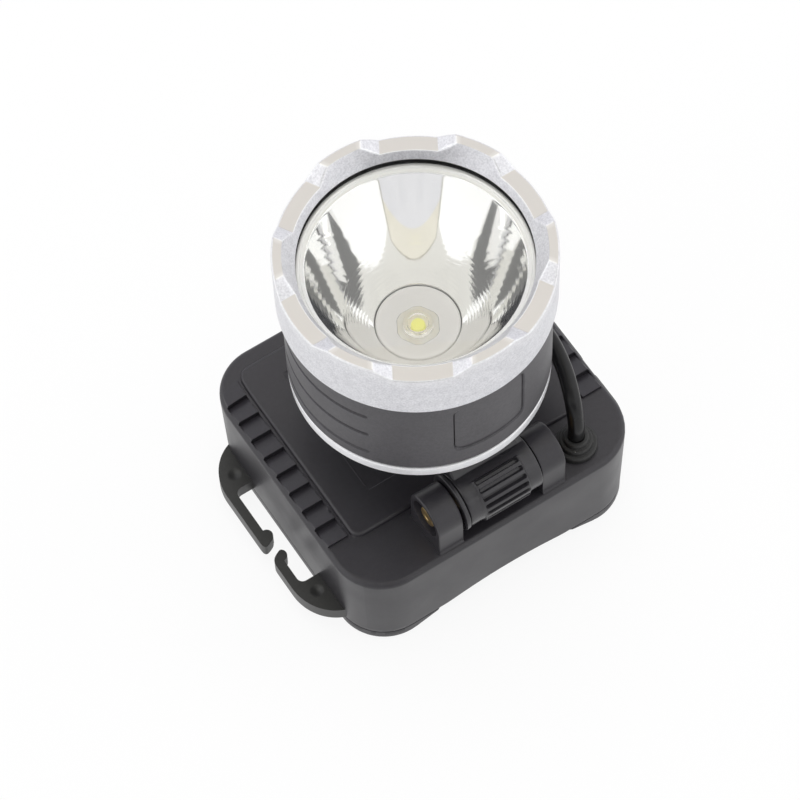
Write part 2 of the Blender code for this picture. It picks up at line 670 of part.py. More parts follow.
def charge_socket(surface):
    """A round low-voltage socket: a square body on the board and a nose through the rear wall."""
    inner_wall = CASE_HALF_DEPTH - CASE_WALL
    front = CRADLE_HALF_DEPTH + GAP
    half = SOCKET_WIDTH / 2
    low = SOCKET_Z - SOCKET_HEIGHT / 2
    body = box((-half, front, low), (half, inner_wall - GAP, low + SOCKET_HEIGHT))
    socket = piece("charge_socket", body, surface)
    nose_end = CASE_HALF_DEPTH - FLAP_RECESS - FIT
    nose_start = inner_wall - 2 * CASE_WALL
    nose = [(0, nose_start), (SOCKET_NOSE_RADIUS, nose_start), (SOCKET_NOSE_RADIUS, nose_end), (0, nose_end)]
    join(socket, "guide_socket_nose", turned(nose, axis="Y"), (0, 0, SOCKET_Z))
    floor = front + CASE_WALL
    pin_radius = 0.7 * MM
    pin_end = CASE_HALF_DEPTH - FLAP_RECESS - PLUG_LENGTH - GAP
    bore = [(pin_radius, floor), (SOCKET_BORE_RADIUS, floor), (SOCKET_BORE_RADIUS, nose_end + GAP)]
    bore += [(0, nose_end + GAP), (0, pin_end), (pin_radius, pin_end)]
    cut(socket, "guide_socket_bore", turned(bore, axis="Y"), (0, 0, SOCKET_Z))
    return socket


def port_flap(surface):
    """The rubber flap over the socket, which swings on the roll along its upper edge."""
    half = FLAP_WIDTH / 2
    seat = CASE_HALF_DEPTH - FLAP_RECESS + FIT
    hinge_y = seat + FLAP_ROLL_RADIUS
    hinge_z = SOCKET_Z + half + FLAP_ROLL_RADIUS
    plate_low = SOCKET_Z - half - hinge_z
    plate = box(
        (-half, seat - hinge_y, plate_low), (half, seat + FLAP_THICKNESS - hinge_y, -0.3 * FLAP_ROLL_RADIUS)
    )
    flap = piece("port_flap", plate, surface, (0, hinge_y, hinge_z))
    end = 0.8 * half
    roll = [(0, -end), (FLAP_ROLL_RADIUS, -end), (FLAP_ROLL_RADIUS, end), (0, end)]
    join(flap, "guide_flap_roll", turned(roll, 12, axis="X"), (0, hinge_y, hinge_z))
    plug_radius = SOCKET_BORE_RADIUS - 2 * FIT
    plug = [(0, -PLUG_LENGTH), (0.8 * plug_radius, -PLUG_LENGTH), (plug_radius, -0.7 * PLUG_LENGTH)]
    plug += [(plug_radius, FLAP_THICKNESS / 2), (0, FLAP_THICKNESS / 2)]
    join(flap, "guide_flap_plug", turned(plug, axis="Y"), (0, seat, SOCKET_Z))
    return flap


# Hinge.


def hinge_bolt(surface):
    outer = HINGE_WIDTH / 2 + EAR_THICKNESS
    head_in = outer - EAR_DISH_DEPTH - BOLT_HEAD_HEIGHT
    head_out = outer - EAR_DISH_DEPTH
    tip = -outer + EAR_DISH_DEPTH + 0.3 * MM
    edge = 0.25 * BOLT_HEAD_HEIGHT
    profile = [(0, tip), (BOLT_RADIUS - edge / 2, tip), (BOLT_RADIUS, tip + edge / 2)]
    profile += [(BOLT_RADIUS, head_in), (BOLT_HEAD_RADIUS, head_in), (BOLT_HEAD_RADIUS, head_out - edge)]
    profile += [(BOLT_HEAD_RADIUS - edge, head_out), (0, head_out)]
    bolt = piece("hinge_bolt", turned(profile, axis="X"), surface, (0, HINGE_Y, HINGE_Z))
    drive = prism(hexagon(BOLT_RADIUS * 1.4), head_out - 0.6 * BOLT_HEAD_HEIGHT, head_out + GAP, axis="X")
    cut(bolt, "guide_bolt_drive", drive, (0, HINGE_Y, HINGE_Z))
    return bolt


def hinge_nut(surface):
    outer = HINGE_WIDTH / 2 + EAR_THICKNESS
    low = -outer + EAR_DISH_DEPTH
    nut = prism(hexagon(NUT_FLATS), low, low + NUT_THICKNESS, axis="X")
    nut = piece("hinge_nut", nut, surface, (0, HINGE_Y, HINGE_Z))
    hole = BOLT_RADIUS + FIT
    bore = [(0, low - GAP), (hole, low - GAP), (hole, low + NUT_THICKNESS + GAP), (0, low + NUT_THICKNESS + GAP)]
    cut(nut, "guide_nut_bore", turned(bore, axis="X"), (0, HINGE_Y, HINGE_Z))
    return nut


def friction_washer(surface):
    """The flanged washer at the nut side of the knuckle."""
    low = -HINGE_WIDTH / 2 + GAP
    high = low + WASHER_THICKNESS
    hole = BOLT_RADIUS + FIT
    profile = [(hole, low), (WASHER_RADIUS, low), (WASHER_RADIUS, high), (hole, high)]
    piece("friction_washer", turned(profile, BODY_SEGMENTS, axis="X"), surface, (0, HINGE_Y, HINGE_Z))


def knuckle_grip_outline():
    """Raised ribs along the knuckle, as a gear-like section."""
    outline = []
    for i in range(KNUCKLE_GRIP_RIBS):
        start = 360 * i / KNUCKLE_GRIP_RIBS
        rib = 360 / KNUCKLE_GRIP_RIBS
        root = KNUCKLE_RADIUS + 0.1 * MM
        outline += arc((0, 0), KNUCKLE_GRIP_RADIUS, start, start + 0.5 * rib, 1)
        outline += arc((0, 0), root, start + 0.62 * rib, start + 0.88 * rib, 1)
    return outline


def bracket_screw_places():
    return arc((0, 0), 0.68 * BRACKET_BOSS_RADIUS, 90, 330, 2)


def lamp_bracket(surface, pivot):
    """The moulded arm: knuckle, plate and the round boss that carries the head."""
    left = -HINGE_WIDTH / 2 + GAP + WASHER_THICKNESS + FIT
    right = HINGE_WIDTH / 2 - GAP
    edge = 0.4 * MM
    profile = [(0, left), (KNUCKLE_RADIUS - edge, left), (KNUCKLE_RADIUS, left + edge)]
    profile += [(KNUCKLE_RADIUS, right - edge), (KNUCKLE_RADIUS - edge, right), (0, right)]
    knuckle = turned(profile, BODY_SEGMENTS, axis="X")
    bracket = piece("lamp_bracket", knuckle, surface, (0, HINGE_Y, HINGE_Z), pivot)
    middle = (left + right) / 2
    half = KNUCKLE_GRIP_WIDTH / 2
    grip = prism(knuckle_grip_outline(), middle - half, middle + half, axis="X")
    join(bracket, "guide_knuckle_grip", grip, (0, HINGE_Y, HINGE_Z))
    top = HEAD_LIFT - GAP
    low = top - BRACKET_PLATE
    arm = [(0.8 * KNUCKLE_RADIUS, 0.1 * KNUCKLE_RADIUS), (0.8 * KNUCKLE_RADIUS + low, low)]
    arm += [(-HINGE_Y, low), (-HINGE_Y, top), (0.1 * KNUCKLE_RADIUS + top / 2, top)]
    arm += [(-0.1 * KNUCKLE_RADIUS, 0.85 * KNUCKLE_RADIUS)]
    plate = prism(arm, -BRACKET_WIDTH / 2 + middle, BRACKET_WIDTH / 2 + middle, axis="X")
    join(bracket, "guide_bracket_arm", plate, (0, HINGE_Y, HINGE_Z))
    boss_top = HEAD_Z - GAP
    boss_low = boss_top - BRACKET_BOSS_HEIGHT
    edge = 0.8 * MM
    boss = [(0, boss_low), (BRACKET_BOSS_RADIUS - edge, boss_low), (BRACKET_BOSS_RADIUS, boss_low + edge)]
    boss += [(BRACKET_BOSS_RADIUS, boss_top), (0, boss_top)]
    join(bracket, "guide_bracket_boss", turned(boss, BODY_SEGMENTS))
    hole = BOLT_RADIUS + FIT
    bore = [(0, left - GAP), (hole, left - GAP), (hole, right + GAP), (0, right + GAP)]
    cut(bracket, "guide_knuckle_bore", turned(bore, axis="X"), (0, HINGE_Y, HINGE_Z))
    holes = []
    for x, y in bracket_screw_places():
        seat = BRACKET_SCREW_HEAD + FIT
        shank = BRACKET_SCREW_RADIUS + FIT
        floor = boss_low + BRACKET_SCREW_HEAD_HEIGHT + GAP
        hole = [(0, boss_low - GAP), (seat, boss_low - GAP), (seat, floor), (shank, floor)]
        hole += [(shank, boss_top + GAP), (0, boss_top + GAP)]
        holes.append(moved(turned(hole), x, y))
    cut(bracket, "guide_bracket_screw_holes", gathered(holes))
    lead_z = (boss_low + boss_top) / 2
    radius = LEAD_RADIUS + FIT
    way = [(0, 0), (radius, 0), (radius, BRACKET_BOSS_RADIUS + GAP), (0, BRACKET_BOSS_RADIUS + GAP)]
    cut(bracket, "guide_lead_way", turned(way, axis="X"), (0, 0, lead_z))
    rise = [(0, lead_z), (radius, lead_z), (radius, boss_top + GAP), (0, boss_top + GAP)]
    cut(bracket, "guide_lead_rise", turned(rise))
    return bracket


def bracket_screws(surface, pivot):
    low = HEAD_Z - GAP - BRACKET_BOSS_HEIGHT
    head_top = low + BRACKET_SCREW_HEAD_HEIGHT
    tip = HEAD_Z + BRACKET_SCREW_BITE
    profile = [(0, low), (0.75 * BRACKET_SCREW_HEAD, low)]
    profile += [(BRACKET_SCREW_HEAD, low + 0.4 * BRACKET_SCREW_HEAD_HEIGHT), (BRACKET_SCREW_HEAD, head_top)]
    profile += [(BRACKET_SCREW_RADIUS, head_top), (BRACKET_SCREW_RADIUS, tip), (0, tip)]
    for i, (x, y) in enumerate(bracket_screw_places()):
        piece(f"bracket_screw_{i + 1}", turned(profile, 12), surface, (x, y, 0), pivot)


# Lamp head.


def heat_sink(surface, pivot):
    """The bright base ring, the plate inside it and the column that cools the LED."""
    edge = 0.4 * MM
    ring_top = HEAD_Z + BASE_RING_HEIGHT
    spigot = BARREL_BORE - FIT
    profile = [(0, HEAD_Z)]
    groove = (BRACKET_BOSS_RADIUS + BASE_RING_RADIUS) / 2
    groove_top = HEAD_Z + SINK_GROOVE_DEPTH
    profile += [(groove - SINK_GROOVE_WIDTH / 2, HEAD_Z), (groove - SINK_GROOVE_WIDTH / 2, groove_top)]
    profile += [(groove + SINK_GROOVE_WIDTH / 2, groove_top), (groove + SINK_GROOVE_WIDTH / 2, HEAD_Z)]
    profile += [(BASE_RING_RADIUS - edge, HEAD_Z), (BASE_RING_RADIUS, HEAD_Z + edge)]
    profile += [(BASE_RING_RADIUS, ring_top - edge), (BASE_RING_RADIUS - edge, ring_top), (spigot, ring_top)]
    profile += [(spigot, ring_top + SPIGOT_HEIGHT), (COLUMN_RADIUS, ring_top + SPIGOT_HEIGHT)]
    profile += [(COLUMN_RADIUS, COLUMN_TOP_Z), (0, COLUMN_TOP_Z)]
    sink = piece("heat_sink", turned(profile, HEAD_SEGMENTS), surface, pivot=pivot)
    holes = []
    for x, y in bracket_screw_places():
        radius = BRACKET_SCREW_RADIUS + FIT
        high = HEAD_Z + BRACKET_SCREW_BITE + GAP
        holes.append(moved(turned([(0, HEAD_Z - GAP), (radius, HEAD_Z - GAP), (radius, high), (0, high)]), x, y))
    radius = LEAD_RADIUS + FIT
    way_top = COLUMN_TOP_Z + GAP
    holes.append(turned([(0, HEAD_Z - GAP), (radius, HEAD_Z - GAP), (radius, way_top), (0, way_top)]))
    cut(sink, "guide_sink_holes", gathered(holes))
    return sink


def barrel_seal(surface, pivot):
    low = HEAD_Z + BASE_RING_HEIGHT + FIT
    high = low + SEAL_HEIGHT
    inner = BARREL_BORE - FIT + FIT
    outer = inner + 0.45 * BARREL_WALL
    profile = [(inner, low), (outer, low), (outer, high), (inner, high)]
    piece("barrel_seal", turned(profile, HEAD_SEGMENTS), surface, pivot=pivot)


def wrapped_cutter(centre_angle, half_angle, centre_z, half_height, corner, depth, steps):
    """A rounded rectangle wrapped on the barrel and sunk to a depth, as a cutter."""
    low = BARREL_RADIUS - depth
    high = BARREL_RADIUS + GAP
    half_arc = BARREL_RADIUS * half_angle
    stations = [-half_arc + corner * (1 - cos(a)) for a in (0.4, 1.05)]
    stations += [-half_arc + corner + (half_arc - corner) * 2 * i / steps for i in range(steps)]
    stations = [s for s in stations if s < 0]
    stations = stations + [-s for s in reversed(stations)]
    rings = []
    for s in stations:
        reach = max(abs(s) - (half_arc - corner), 0)
        rise = half_height - corner + sqrt(max(corner**2 - reach**2, 0))
        angle = centre_angle + s / BARREL_RADIUS
        ring = []
        for radius, z in ((low, -rise), (high, -rise), (high, rise), (low, rise)):
            ring.append((radius * cos(angle), radius * sin(angle), centre_z + z))
        rings.append(ring)
    return lofted(rings)


def barrel(surface, pivot):
    """The black sleeve of the head, with a neck that the bezel goes over."""
    seal_top = HEAD_Z + BASE_RING_HEIGHT + FIT + SEAL_HEIGHT + FIT
    seal_edge = BARREL_BORE + 0.45 * BARREL_WALL + FIT
    edge = 0.3 * MM
    profile = [(BARREL_BORE, seal_top), (seal_edge, seal_top), (seal_edge, BARREL_BOTTOM_Z)]
    profile += [(BARREL_RADIUS - edge, BARREL_BOTTOM_Z), (BARREL_RADIUS, BARREL_BOTTOM_Z + edge)]
    profile += [(BARREL_RADIUS, BARREL_TOP_Z), (NECK_RADIUS, BARREL_TOP_Z), (NECK_RADIUS, NECK_TOP_Z)]
    profile += [(BARREL_BORE, NECK_TOP_Z)]
    sleeve = piece("barrel", turned(profile, HEAD_SEGMENTS), surface, pivot=pivot)
    cutters = []
    for side in (0.0, pi):
        for i in range(GROOVES):
            z = BUTTON_Z - 1.6 * MM + (i - (GROOVES - 1) / 2) * GROOVE_PITCH
            half = GROOVE_HEIGHT / 2
            cutters.append(wrapped_cutter(side, GROOVE_HALF_ANGLE, z, half, half, GROOVE_DEPTH, 7))
    cut(sleeve, "guide_grooves", gathered(cutters))
    panel = wrapped_cutter(-pi / 2, PANEL_HALF_ANGLE, BUTTON_Z + 1.2 * MM, PANEL_HEIGHT / 2, PANEL_CORNER, PANEL_DEPTH, 8)
    cut(sleeve, "guide_panel", panel)
    hole = BUTTON_RADIUS + GAP
    inside = BARREL_BORE - 3 * BARREL_WALL
    bore = [(0, inside), (hole, inside), (hole, BARREL_RADIUS + GAP), (0, BARREL_RADIUS + GAP)]
    cut(sleeve, "guide_button_hole", turned(bore, BODY_SEGMENTS, axis="Y"), (0, 0, BUTTON_Z))
    seat = BUTTON_RADIUS + GAP + BUTTON_RING_WIDTH + FIT
    face = button_seat_y()
    spot = [(0, face), (seat, face), (seat, BARREL_RADIUS + GAP), (0, BARREL_RADIUS + GAP)]
    cut(sleeve, "guide_button_seat", turned(spot, BODY_SEGMENTS, axis="Y"), (0, 0, BUTTON_Z))
    return sleeve


def button_seat_y():
    """The flat that the button's ring stands on, just under the barrel's round surface."""
    seat = BUTTON_RADIUS + GAP + BUTTON_RING_WIDTH + FIT
    return sqrt(BARREL_RADIUS**2 - seat**2) - FIT


def button_flange_top():
    """How far out the button's inner flange can sit before it meets the barrel's bore."""
    flange = BUTTON_RADIUS + BUTTON_FLANGE
    return sqrt(BARREL_BORE**2 - flange**2) - GAP


def switch_floor():
    """The face that the button's flange stops on when it is pressed."""
    return button_flange_top() - BUTTON_FLANGE_THICKNESS - BUTTON_TRAVEL - GAP


def switch_radius():
    return BUTTON_RADIUS + BUTTON_FLANGE + GAP + 0.7 * MM


def switch_back():
    """How far in the switch reaches: its own depth, or as far as the reflector leaves it."""
    height = BUTTON_Z + switch_radius() + REFLECTOR_WALL - REFLECTOR_ORIGIN_Z
    reflector_skin = 2 * sqrt(REFLECTOR_FOCUS * height) + REFLECTOR_WALL
    return max(switch_floor() - SWITCH_DEPTH, reflector_skin + GAP)


def push_button(surface, pivot):
    """The cap that is pressed inwards, held in by its flange."""
    top = BARREL_RADIUS + BUTTON_PROUD
    flange = BUTTON_RADIUS + BUTTON_FLANGE
    flange_top = button_flange_top()
    flange_low = flange_top - BUTTON_FLANGE_THICKNESS
    edge = 0.5 * MM
    profile = [(0, flange_low), (flange, flange_low), (flange, flange_top), (BUTTON_RADIUS, flange_top)]
    profile += [(BUTTON_RADIUS, top - edge), (BUTTON_RADIUS - edge, top), (0, top)]
    piece("push_button", turned(profile, BODY_SEGMENTS, axis="Y"), surface, (0, 0, BUTTON_Z), pivot)


def button_ring(surface, pivot):
    inner = BUTTON_RADIUS + GAP
    outer = inner + BUTTON_RING_WIDTH
    low = button_seat_y() + FIT
    high = low + BUTTON_RING_HEIGHT
    edge = 0.4 * MM
    profile = [(inner, low), (outer, low), (outer, high - edge), (outer - edge, high), (inner, high)]
    piece("button_ring", turned(profile, BODY_SEGMENTS, axis="Y"), surface, (0, 0, BUTTON_Z), pivot)


def switch_body(surface, pivot):
    """The switch behind the button: a cup whose rim reaches the barrel's bore."""
    inner = BUTTON_RADIUS + BUTTON_FLANGE + GAP
    outer = switch_radius()
    rim = sqrt(BARREL_BORE**2 - outer**2) - GAP
    floor = switch_floor()
    back = switch_back()
    profile = [(0, back), (outer, back), (outer, rim), (inner, rim), (inner, floor), (0, floor)]
    piece("switch_body", turned(profile, BODY_SEGMENTS, axis="Y"), surface, (0, 0, BUTTON_Z), pivot)


def driver_board(surface, pivot):
    """The ring-shaped board that feeds the LED, on the heat sink's plate."""
    low = HEAD_Z + BASE_RING_HEIGHT + SPIGOT_HEIGHT + FIT
    top = low + DRIVER_BOARD_THICKNESS
    inner = COLUMN_RADIUS + GAP
    outer = switch_back() - GAP
    profile = [(inner, low), (outer, low), (outer, top), (inner, top)]
    board = piece("driver_board", turned(profile, BODY_SEGMENTS), surface, pivot=pivot)
    middle = (inner + outer) / 2
    deep = top - DRIVER_BOARD_THICKNESS / 2
    coil_radius = 0.4 * (outer - inner)
    coil = [(0, deep), (coil_radius, deep), (coil_radius, top + 2.6 * MM), (0, top + 2.6 * MM)]
    parts = [moved(turned(coil), middle, 0), moved(turned(coil, 12), -middle, 0)]
    parts += [box((-2 * MM, -middle - coil_radius, deep), (2 * MM, -middle + coil_radius, top + 1.2 * MM))]
    join(board, "guide_driver_parts", gathered(parts))
    return board


def led_board(surface, pivot):
    radius = COLUMN_RADIUS
    top = LED_BOARD_Z + LED_BOARD_THICKNESS
    profile = [(0, LED_BOARD_Z), (radius, LED_BOARD_Z), (radius, top), (0, top)]
    piece("led_board", turned(profile, BODY_SEGMENTS), surface, pivot=pivot)


def led_spacer(surface, pivot):
    """The pale insulating disc round the LED, dished, with a rounded rim."""
    low = LED_Z
    top = low + LED_SPACER_THICKNESS
    outer = LED_SPACER_RADIUS
    dish = 0.3 * MM
    profile = [(0, low), (outer, low), (outer, top - dish), (outer - dish, top), (outer - 3 * dish, top)]
    profile += [(0.75 * outer, top - dish), (0, top - dish)]
    disc = piece("led_spacer", turned(profile, BODY_SEGMENTS), surface, pivot=pivot)
    window = prism(hexagon(LED_FLATS + 2 * FIT), low - GAP, top + GAP)
    cut(disc, "guide_led_window", window)
    return disc


def led_base(surface, pivot):
    piece("led_base", prism(hexagon(LED_FLATS), LED_Z, LED_Z + LED_BASE_HEIGHT), surface, pivot=pivot)


def led_chip(surface, pivot):
    low = LED_Z + LED_BASE_HEIGHT + FIT
    top = low + LED_CHIP_HEIGHT
    profile = [(0, low), (LED_CHIP_RADIUS, low), (LED_CHIP_RADIUS, top), (0, top)]
    piece("led_phosphor", turned(profile), surface, pivot=pivot)


def led_dome(surface, pivot):
    """The clear dome, hollowed underneath for the phosphor."""
    low = LED_Z + LED_BASE_HEIGHT + FIT
    room_top = low + LED_CHIP_HEIGHT + FIT
    room = LED_CHIP_RADIUS + FIT
    profile = [(room, low), (LED_DOME_RADIUS, low)]
    profile += [(r, low + 0.3 * MM + z) for r, z in arc((0, 0), LED_DOME_RADIUS, 0, 75, 4)]
    profile += [(0, low + 0.3 * MM + LED_DOME_RADIUS), (0, room_top), (room, room_top)]
    piece("led_dome", turned(profile), surface, pivot=pivot)


def reflector(surface, pivot):
    """A parabola of revolution with its focus at the LED, hung from a flange at its mouth."""

    def height(radius):
        return REFLECTOR_ORIGIN_Z + radius**2 / (4 * REFLECTOR_FOCUS)

    steps = 5
    span = REFLECTOR_MOUTH - REFLECTOR_THROAT
    radii = [REFLECTOR_THROAT + span * i / steps for i in range(steps + 1)]
    inner = [(r, height(r)) for r in radii]
    outer = []
    for r, z in inner[1:-1:2]:
        slope = atan2(r / (2 * REFLECTOR_FOCUS), 1)
        outer.append((r + REFLECTOR_WALL * sin(slope), z - REFLECTOR_WALL * cos(slope)))
    flange = NECK_RADIUS - FIT
    collar = REFLECTOR_THROAT + REFLECTOR_WALL
    outer = [(r, z) for r, z in outer if r > collar and z < FLANGE_Z - REFLECTOR_WALL]
    profile = [(REFLECTOR_THROAT, REFLECTOR_FOOT_Z)] + inner
    profile += [(flange, REFLECTOR_MOUTH_Z), (flange, FLANGE_Z)]
    profile += [(REFLECTOR_MOUTH + REFLECTOR_WALL, FLANGE_Z)] + outer[::-1]
    profile += [(collar, REFLECTOR_FOOT_Z)]
    piece("reflector", turned(profile, HEAD_SEGMENTS), surface, pivot=pivot)


def lens_gasket(surface, pivot):
    """A rubber channel round the edge of the lens."""
    outer = NECK_RADIUS - FIT
    groove = BEZEL_LIP_RADIUS + LENS_OVERLAP + FIT
    low = GASKET_Z
    high = GASKET_Z + GASKET_HEIGHT
    profile = [(BEZEL_LIP_RADIUS, low), (outer, low), (outer, high), (BEZEL_LIP_RADIUS, high)]
    profile += [(BEZEL_LIP_RADIUS, high - GASKET_LIP), (groove, high - GASKET_LIP)]
    profile += [(groove, low + GASKET_LIP), (BEZEL_LIP_RADIUS, low + GASKET_LIP)]
    piece("lens_gasket", turned(profile, HEAD_SEGMENTS), surface, pivot=pivot)


def lens(surface, pivot):
    radius = BEZEL_LIP_RADIUS + LENS_OVERLAP
    low = GASKET_Z + GASKET_LIP + FIT
    high = GASKET_Z + GASKET_HEIGHT - GASKET_LIP - FIT
    profile = [(0, low), (radius, low), (radius, high), (0, high)]
    piece("lens", turned(profile, HEAD_SEGMENTS), surface, pivot=pivot)


def bezel(surface, pivot):
    """The bright front ring, with six milled notches in its rim."""
    profile = [(BEZEL_BORE, BARREL_TOP_Z + GAP), (BEZEL_RADIUS, BARREL_TOP_Z + GAP)]
    profile += [(BEZEL_RADIUS, HEAD_TOP_Z - BEZEL_EDGE), (BEZEL_RADIUS - BEZEL_EDGE, HEAD_TOP_Z)]
    profile += [(BEZEL_MOUTH_RADIUS, HEAD_TOP_Z), (BEZEL_LIP_RADIUS, LIP_Z + BEZEL_EDGE)]
    profile += [(BEZEL_LIP_RADIUS, LIP_Z), (BEZEL_BORE, LIP_Z)]
    ring = piece("bezel", turned(profile, HEAD_SEGMENTS), surface, pivot=pivot)
    floor = HEAD_TOP_Z - NOTCH_DEPTH
    past = 2 * NOTCH_DEPTH
    spread = NOTCH_SLOPE * past / NOTCH_DEPTH
    half = NOTCH_FLOOR / 2
    section = [(-half, floor), (half, floor), (half + spread, floor + past), (-half - spread, floor + past)]
    notches = []
    for i in range(NOTCHES):
        notch = prism(section, 0.75 * BEZEL_LIP_RADIUS, 1.2 * BEZEL_RADIUS, axis="X")
        turn = 2 * pi * i / NOTCHES
        for point in notch.verts:
            x, y, z = point.co
            point.co = (x * cos(turn) - y * sin(turn), x * sin(turn) + y * cos(turn), z)
        notches.append(notch)
    cut(ring, "guide_notches", gathered(notches))
    return ring


# Lead from the case to the head.


def base_grommet(surface):
    """A stepped rubber grommet that is pushed through the case's roof."""
    top_radius = GROMMET_RADII[2]
    waist = top_radius
    inside = CAVITY_TOP - FIT
    catch = waist + 1.0 * MM
    profile = [(0, inside - 1.2 * MM), (catch, inside - 1.2 * MM), (catch, inside), (waist, inside)]
    height = SHOULDER_Z + FIT
    profile += [(waist, height)]
    for radius in GROMMET_RADII:
        profile += [(radius, height), (radius, height + GROMMET_STEP - 0.3 * MM)]
        profile += [(radius - 0.3 * MM, height + GROMMET_STEP)]
        height += GROMMET_STEP
    profile += [(0, height)]
    piece("base_grommet", turned(profile), surface, (GROMMET_OFFSET, GROMMET_Y, 0))


def gland_axis():
    return HEAD_Z - GAP - BRACKET_BOSS_HEIGHT / 2


def head_gland(surface, pivot):
    """The strain relief where the lead enters the bracket's boss."""
    start = BRACKET_BOSS_RADIUS + FIT
    edge = 0.5 * MM
    profile = [(0, start), (GLAND_RADIUS, start), (GLAND_RADIUS, start + 0.5 * GLAND_REACH)]
    profile += [(LEAD_RADIUS + edge, start + GLAND_REACH), (0, start + GLAND_REACH)]
    piece("head_gland", turned(profile, axis="X"), surface, (0, 0, gland_axis()), pivot)


def smooth_route(points, spacing):
    """A straight first and last stretch, with an evenly spaced smooth curve between them."""
    fine = []
    for before, start, end, after in zip(points, points[1:], points[2:], points[3:]):
        for i in range(24):
            t = i / 24
            bend = (2 * before - 5 * start + 4 * end - after) * t * t
            twist = (3 * start - before - 3 * end + after) * t**3
            fine.append((2 * start + (end - before) * t + bend + twist) / 2)
    fine.append(points[-2])
    lengths = [0.0]
    for start, end in zip(fine, fine[1:]):
        lengths.append(lengths[-1] + (end - start).length)
    count = ceil(lengths[-1] / spacing)
    route = [points[0]]
    for i in range(count + 1):
        goal = lengths[-1] * i / count
        place = min(max(k for k, length in enumerate(lengths) if length <= goal), len(fine) - 2)
        share = (goal - lengths[place]) / (lengths[place + 1] - lengths[place])
        route.append(fine[place].lerp(fine[place + 1], share))
    return route + [points[-1]]


def lead(surface):
    """The short two-core lead: up out of the grommet, back beside the hinge and in under the head."""
    start_z = SHOULDER_Z + FIT + len(GROMMET_RADII) * GROMMET_STEP + GAP
    end_x = BRACKET_BOSS_RADIUS + FIT + GLAND_REACH + GAP
    chosen = [
        (GROMMET_OFFSET, GROMMET_Y, start_z),
        (GROMMET_OFFSET, GROMMET_Y, start_z + 2 * LEAD_RADIUS),
        (24.4 * MM, -23.6 * MM, gland_axis() - 3.9 * MM),
        (26.4 * MM, -17.0 * MM, gland_axis() - 0.9 * MM),
        (27.6 * MM, -9.0 * MM, gland_axis()),
        (26.6 * MM, -2.6 * MM, gland_axis()),
        (end_x + 2 * LEAD_RADIUS, 0.0, gland_axis()),
        (end_x, 0.0, gland_axis()),
    ]
    route = smooth_route([Vector(point) for point in chosen], 2.2 * LEAD_RADIUS)
    curve = bpy.data.curves.new("lead", "CURVE")
    curve.dimensions = "3D"
    curve.bevel_depth = LEAD_RADIUS
    curve.bevel_resolution = 2
    curve.use_fill_caps = True
    line = curve.splines.new("POLY")
    line.points.add(len(route) - 1)
    for point, place in zip(line.points, route):
        point.co = (*place, 1.0)
    curve.materials.append(surface)
    made = bpy.data.objects.new("lead", curve)
    bpy.context.scene.collection.objects.link(made)


def build_case():
    black = finish("case_black", (0.03, 0.03, 0.032), 0.42)
    steel = finish("screw_steel", (0.55, 0.55, 0.56), 0.3, 1.0)
    rubber = finish("case_rubber", (0.02, 0.02, 0.02), 0.7)
    board = finish("board_green", (0.03, 0.16, 0.07), 0.5)
    case_top(black)
    back_plate(black)
    case_screws(steel)
    cells(finish("cell_wrap", (0.05, 0.16, 0.4), 0.35))
    cell_strips(finish("nickel", (0.6, 0.58, 0.54), 0.3, 1.0))
    cell_cradle(finish("cradle_white", (0.7, 0.7, 0.68), 0.5))
    control_board(board)
    charge_socket(finish("socket_black", (0.02, 0.02, 0.02), 0.4))
    port_flap(rubber)
    base_grommet(rubber)


def build_hinge(pivot):
    steel = finish("hinge_steel", (0.6, 0.6, 0.6), 0.25, 1.0)
    hinge_bolt(finish("brass", (0.72, 0.56, 0.28), 0.3, 1.0))
    hinge_nut(steel)
    friction_washer(finish("washer_black", (0.04, 0.04, 0.042), 0.3))
    lamp_bracket(finish("bracket_black", (0.03, 0.03, 0.032), 0.28), pivot)
    bracket_screws(steel, pivot)


def build_head(pivot):
    bright = finish("bead_blasted_aluminium", (0.78, 0.77, 0.79), 0.4, 1.0)
    heat_sink(bright, pivot)
    barrel_seal(finish("seal_rubber", (0.02, 0.02, 0.02), 0.6), pivot)
    barrel(finish("barrel_black", (0.045, 0.045, 0.048), 0.5), pivot)
    push_button(finish("button_black", (0.03, 0.03, 0.03), 0.55), pivot)
    button_ring(bright, pivot)
    switch_body(finish("switch_black", (0.04, 0.04, 0.04), 0.5), pivot)
    driver_board(finish("driver_green", (0.03, 0.16, 0.07), 0.5), pivot)
    led_board(finish("led_board_white", (0.8, 0.8, 0.78), 0.4), pivot)
    led_spacer(finish("spacer_white", (0.82, 0.8, 0.76), 0.35), pivot)
    led_base(finish("led_base_white", (0.85, 0.84, 0.8), 0.3), pivot)
    led_chip(finish("phosphor_yellow", (0.9, 0.85, 0.25), 0.5), pivot)
    led_dome(finish("led_dome_clear", (0.95, 0.95, 0.95), 0.05, 0.0, 1.0), pivot)
    reflector(finish("reflector_chrome", (0.9, 0.9, 0.9), 0.06, 1.0), pivot)
    lens_gasket(finish("gasket_black", (0.01, 0.01, 0.01), 0.5), pivot)
    lens(finish("lens_clear", (0.97, 0.98, 0.98), 0.02, 0.0, 1.0), pivot)
    bezel(bright, pivot)
    head_gland(finish("gland_rubber", (0.02, 0.02, 0.02), 0.6), pivot)


def main():
    clear_scene()
    tilt_pivot = pivot_at("tilt_pivot", (0, HINGE_Y, HINGE_Z))
    build_case()
    build_hinge(tilt_pivot)
    build_head(tilt_pivot)
    lead(finish("lead_black", (0.025, 0.025, 0.027), 0.45))


main()
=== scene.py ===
import bmesh
import bpy
import numpy as np
from mathutils import Matrix, Vector


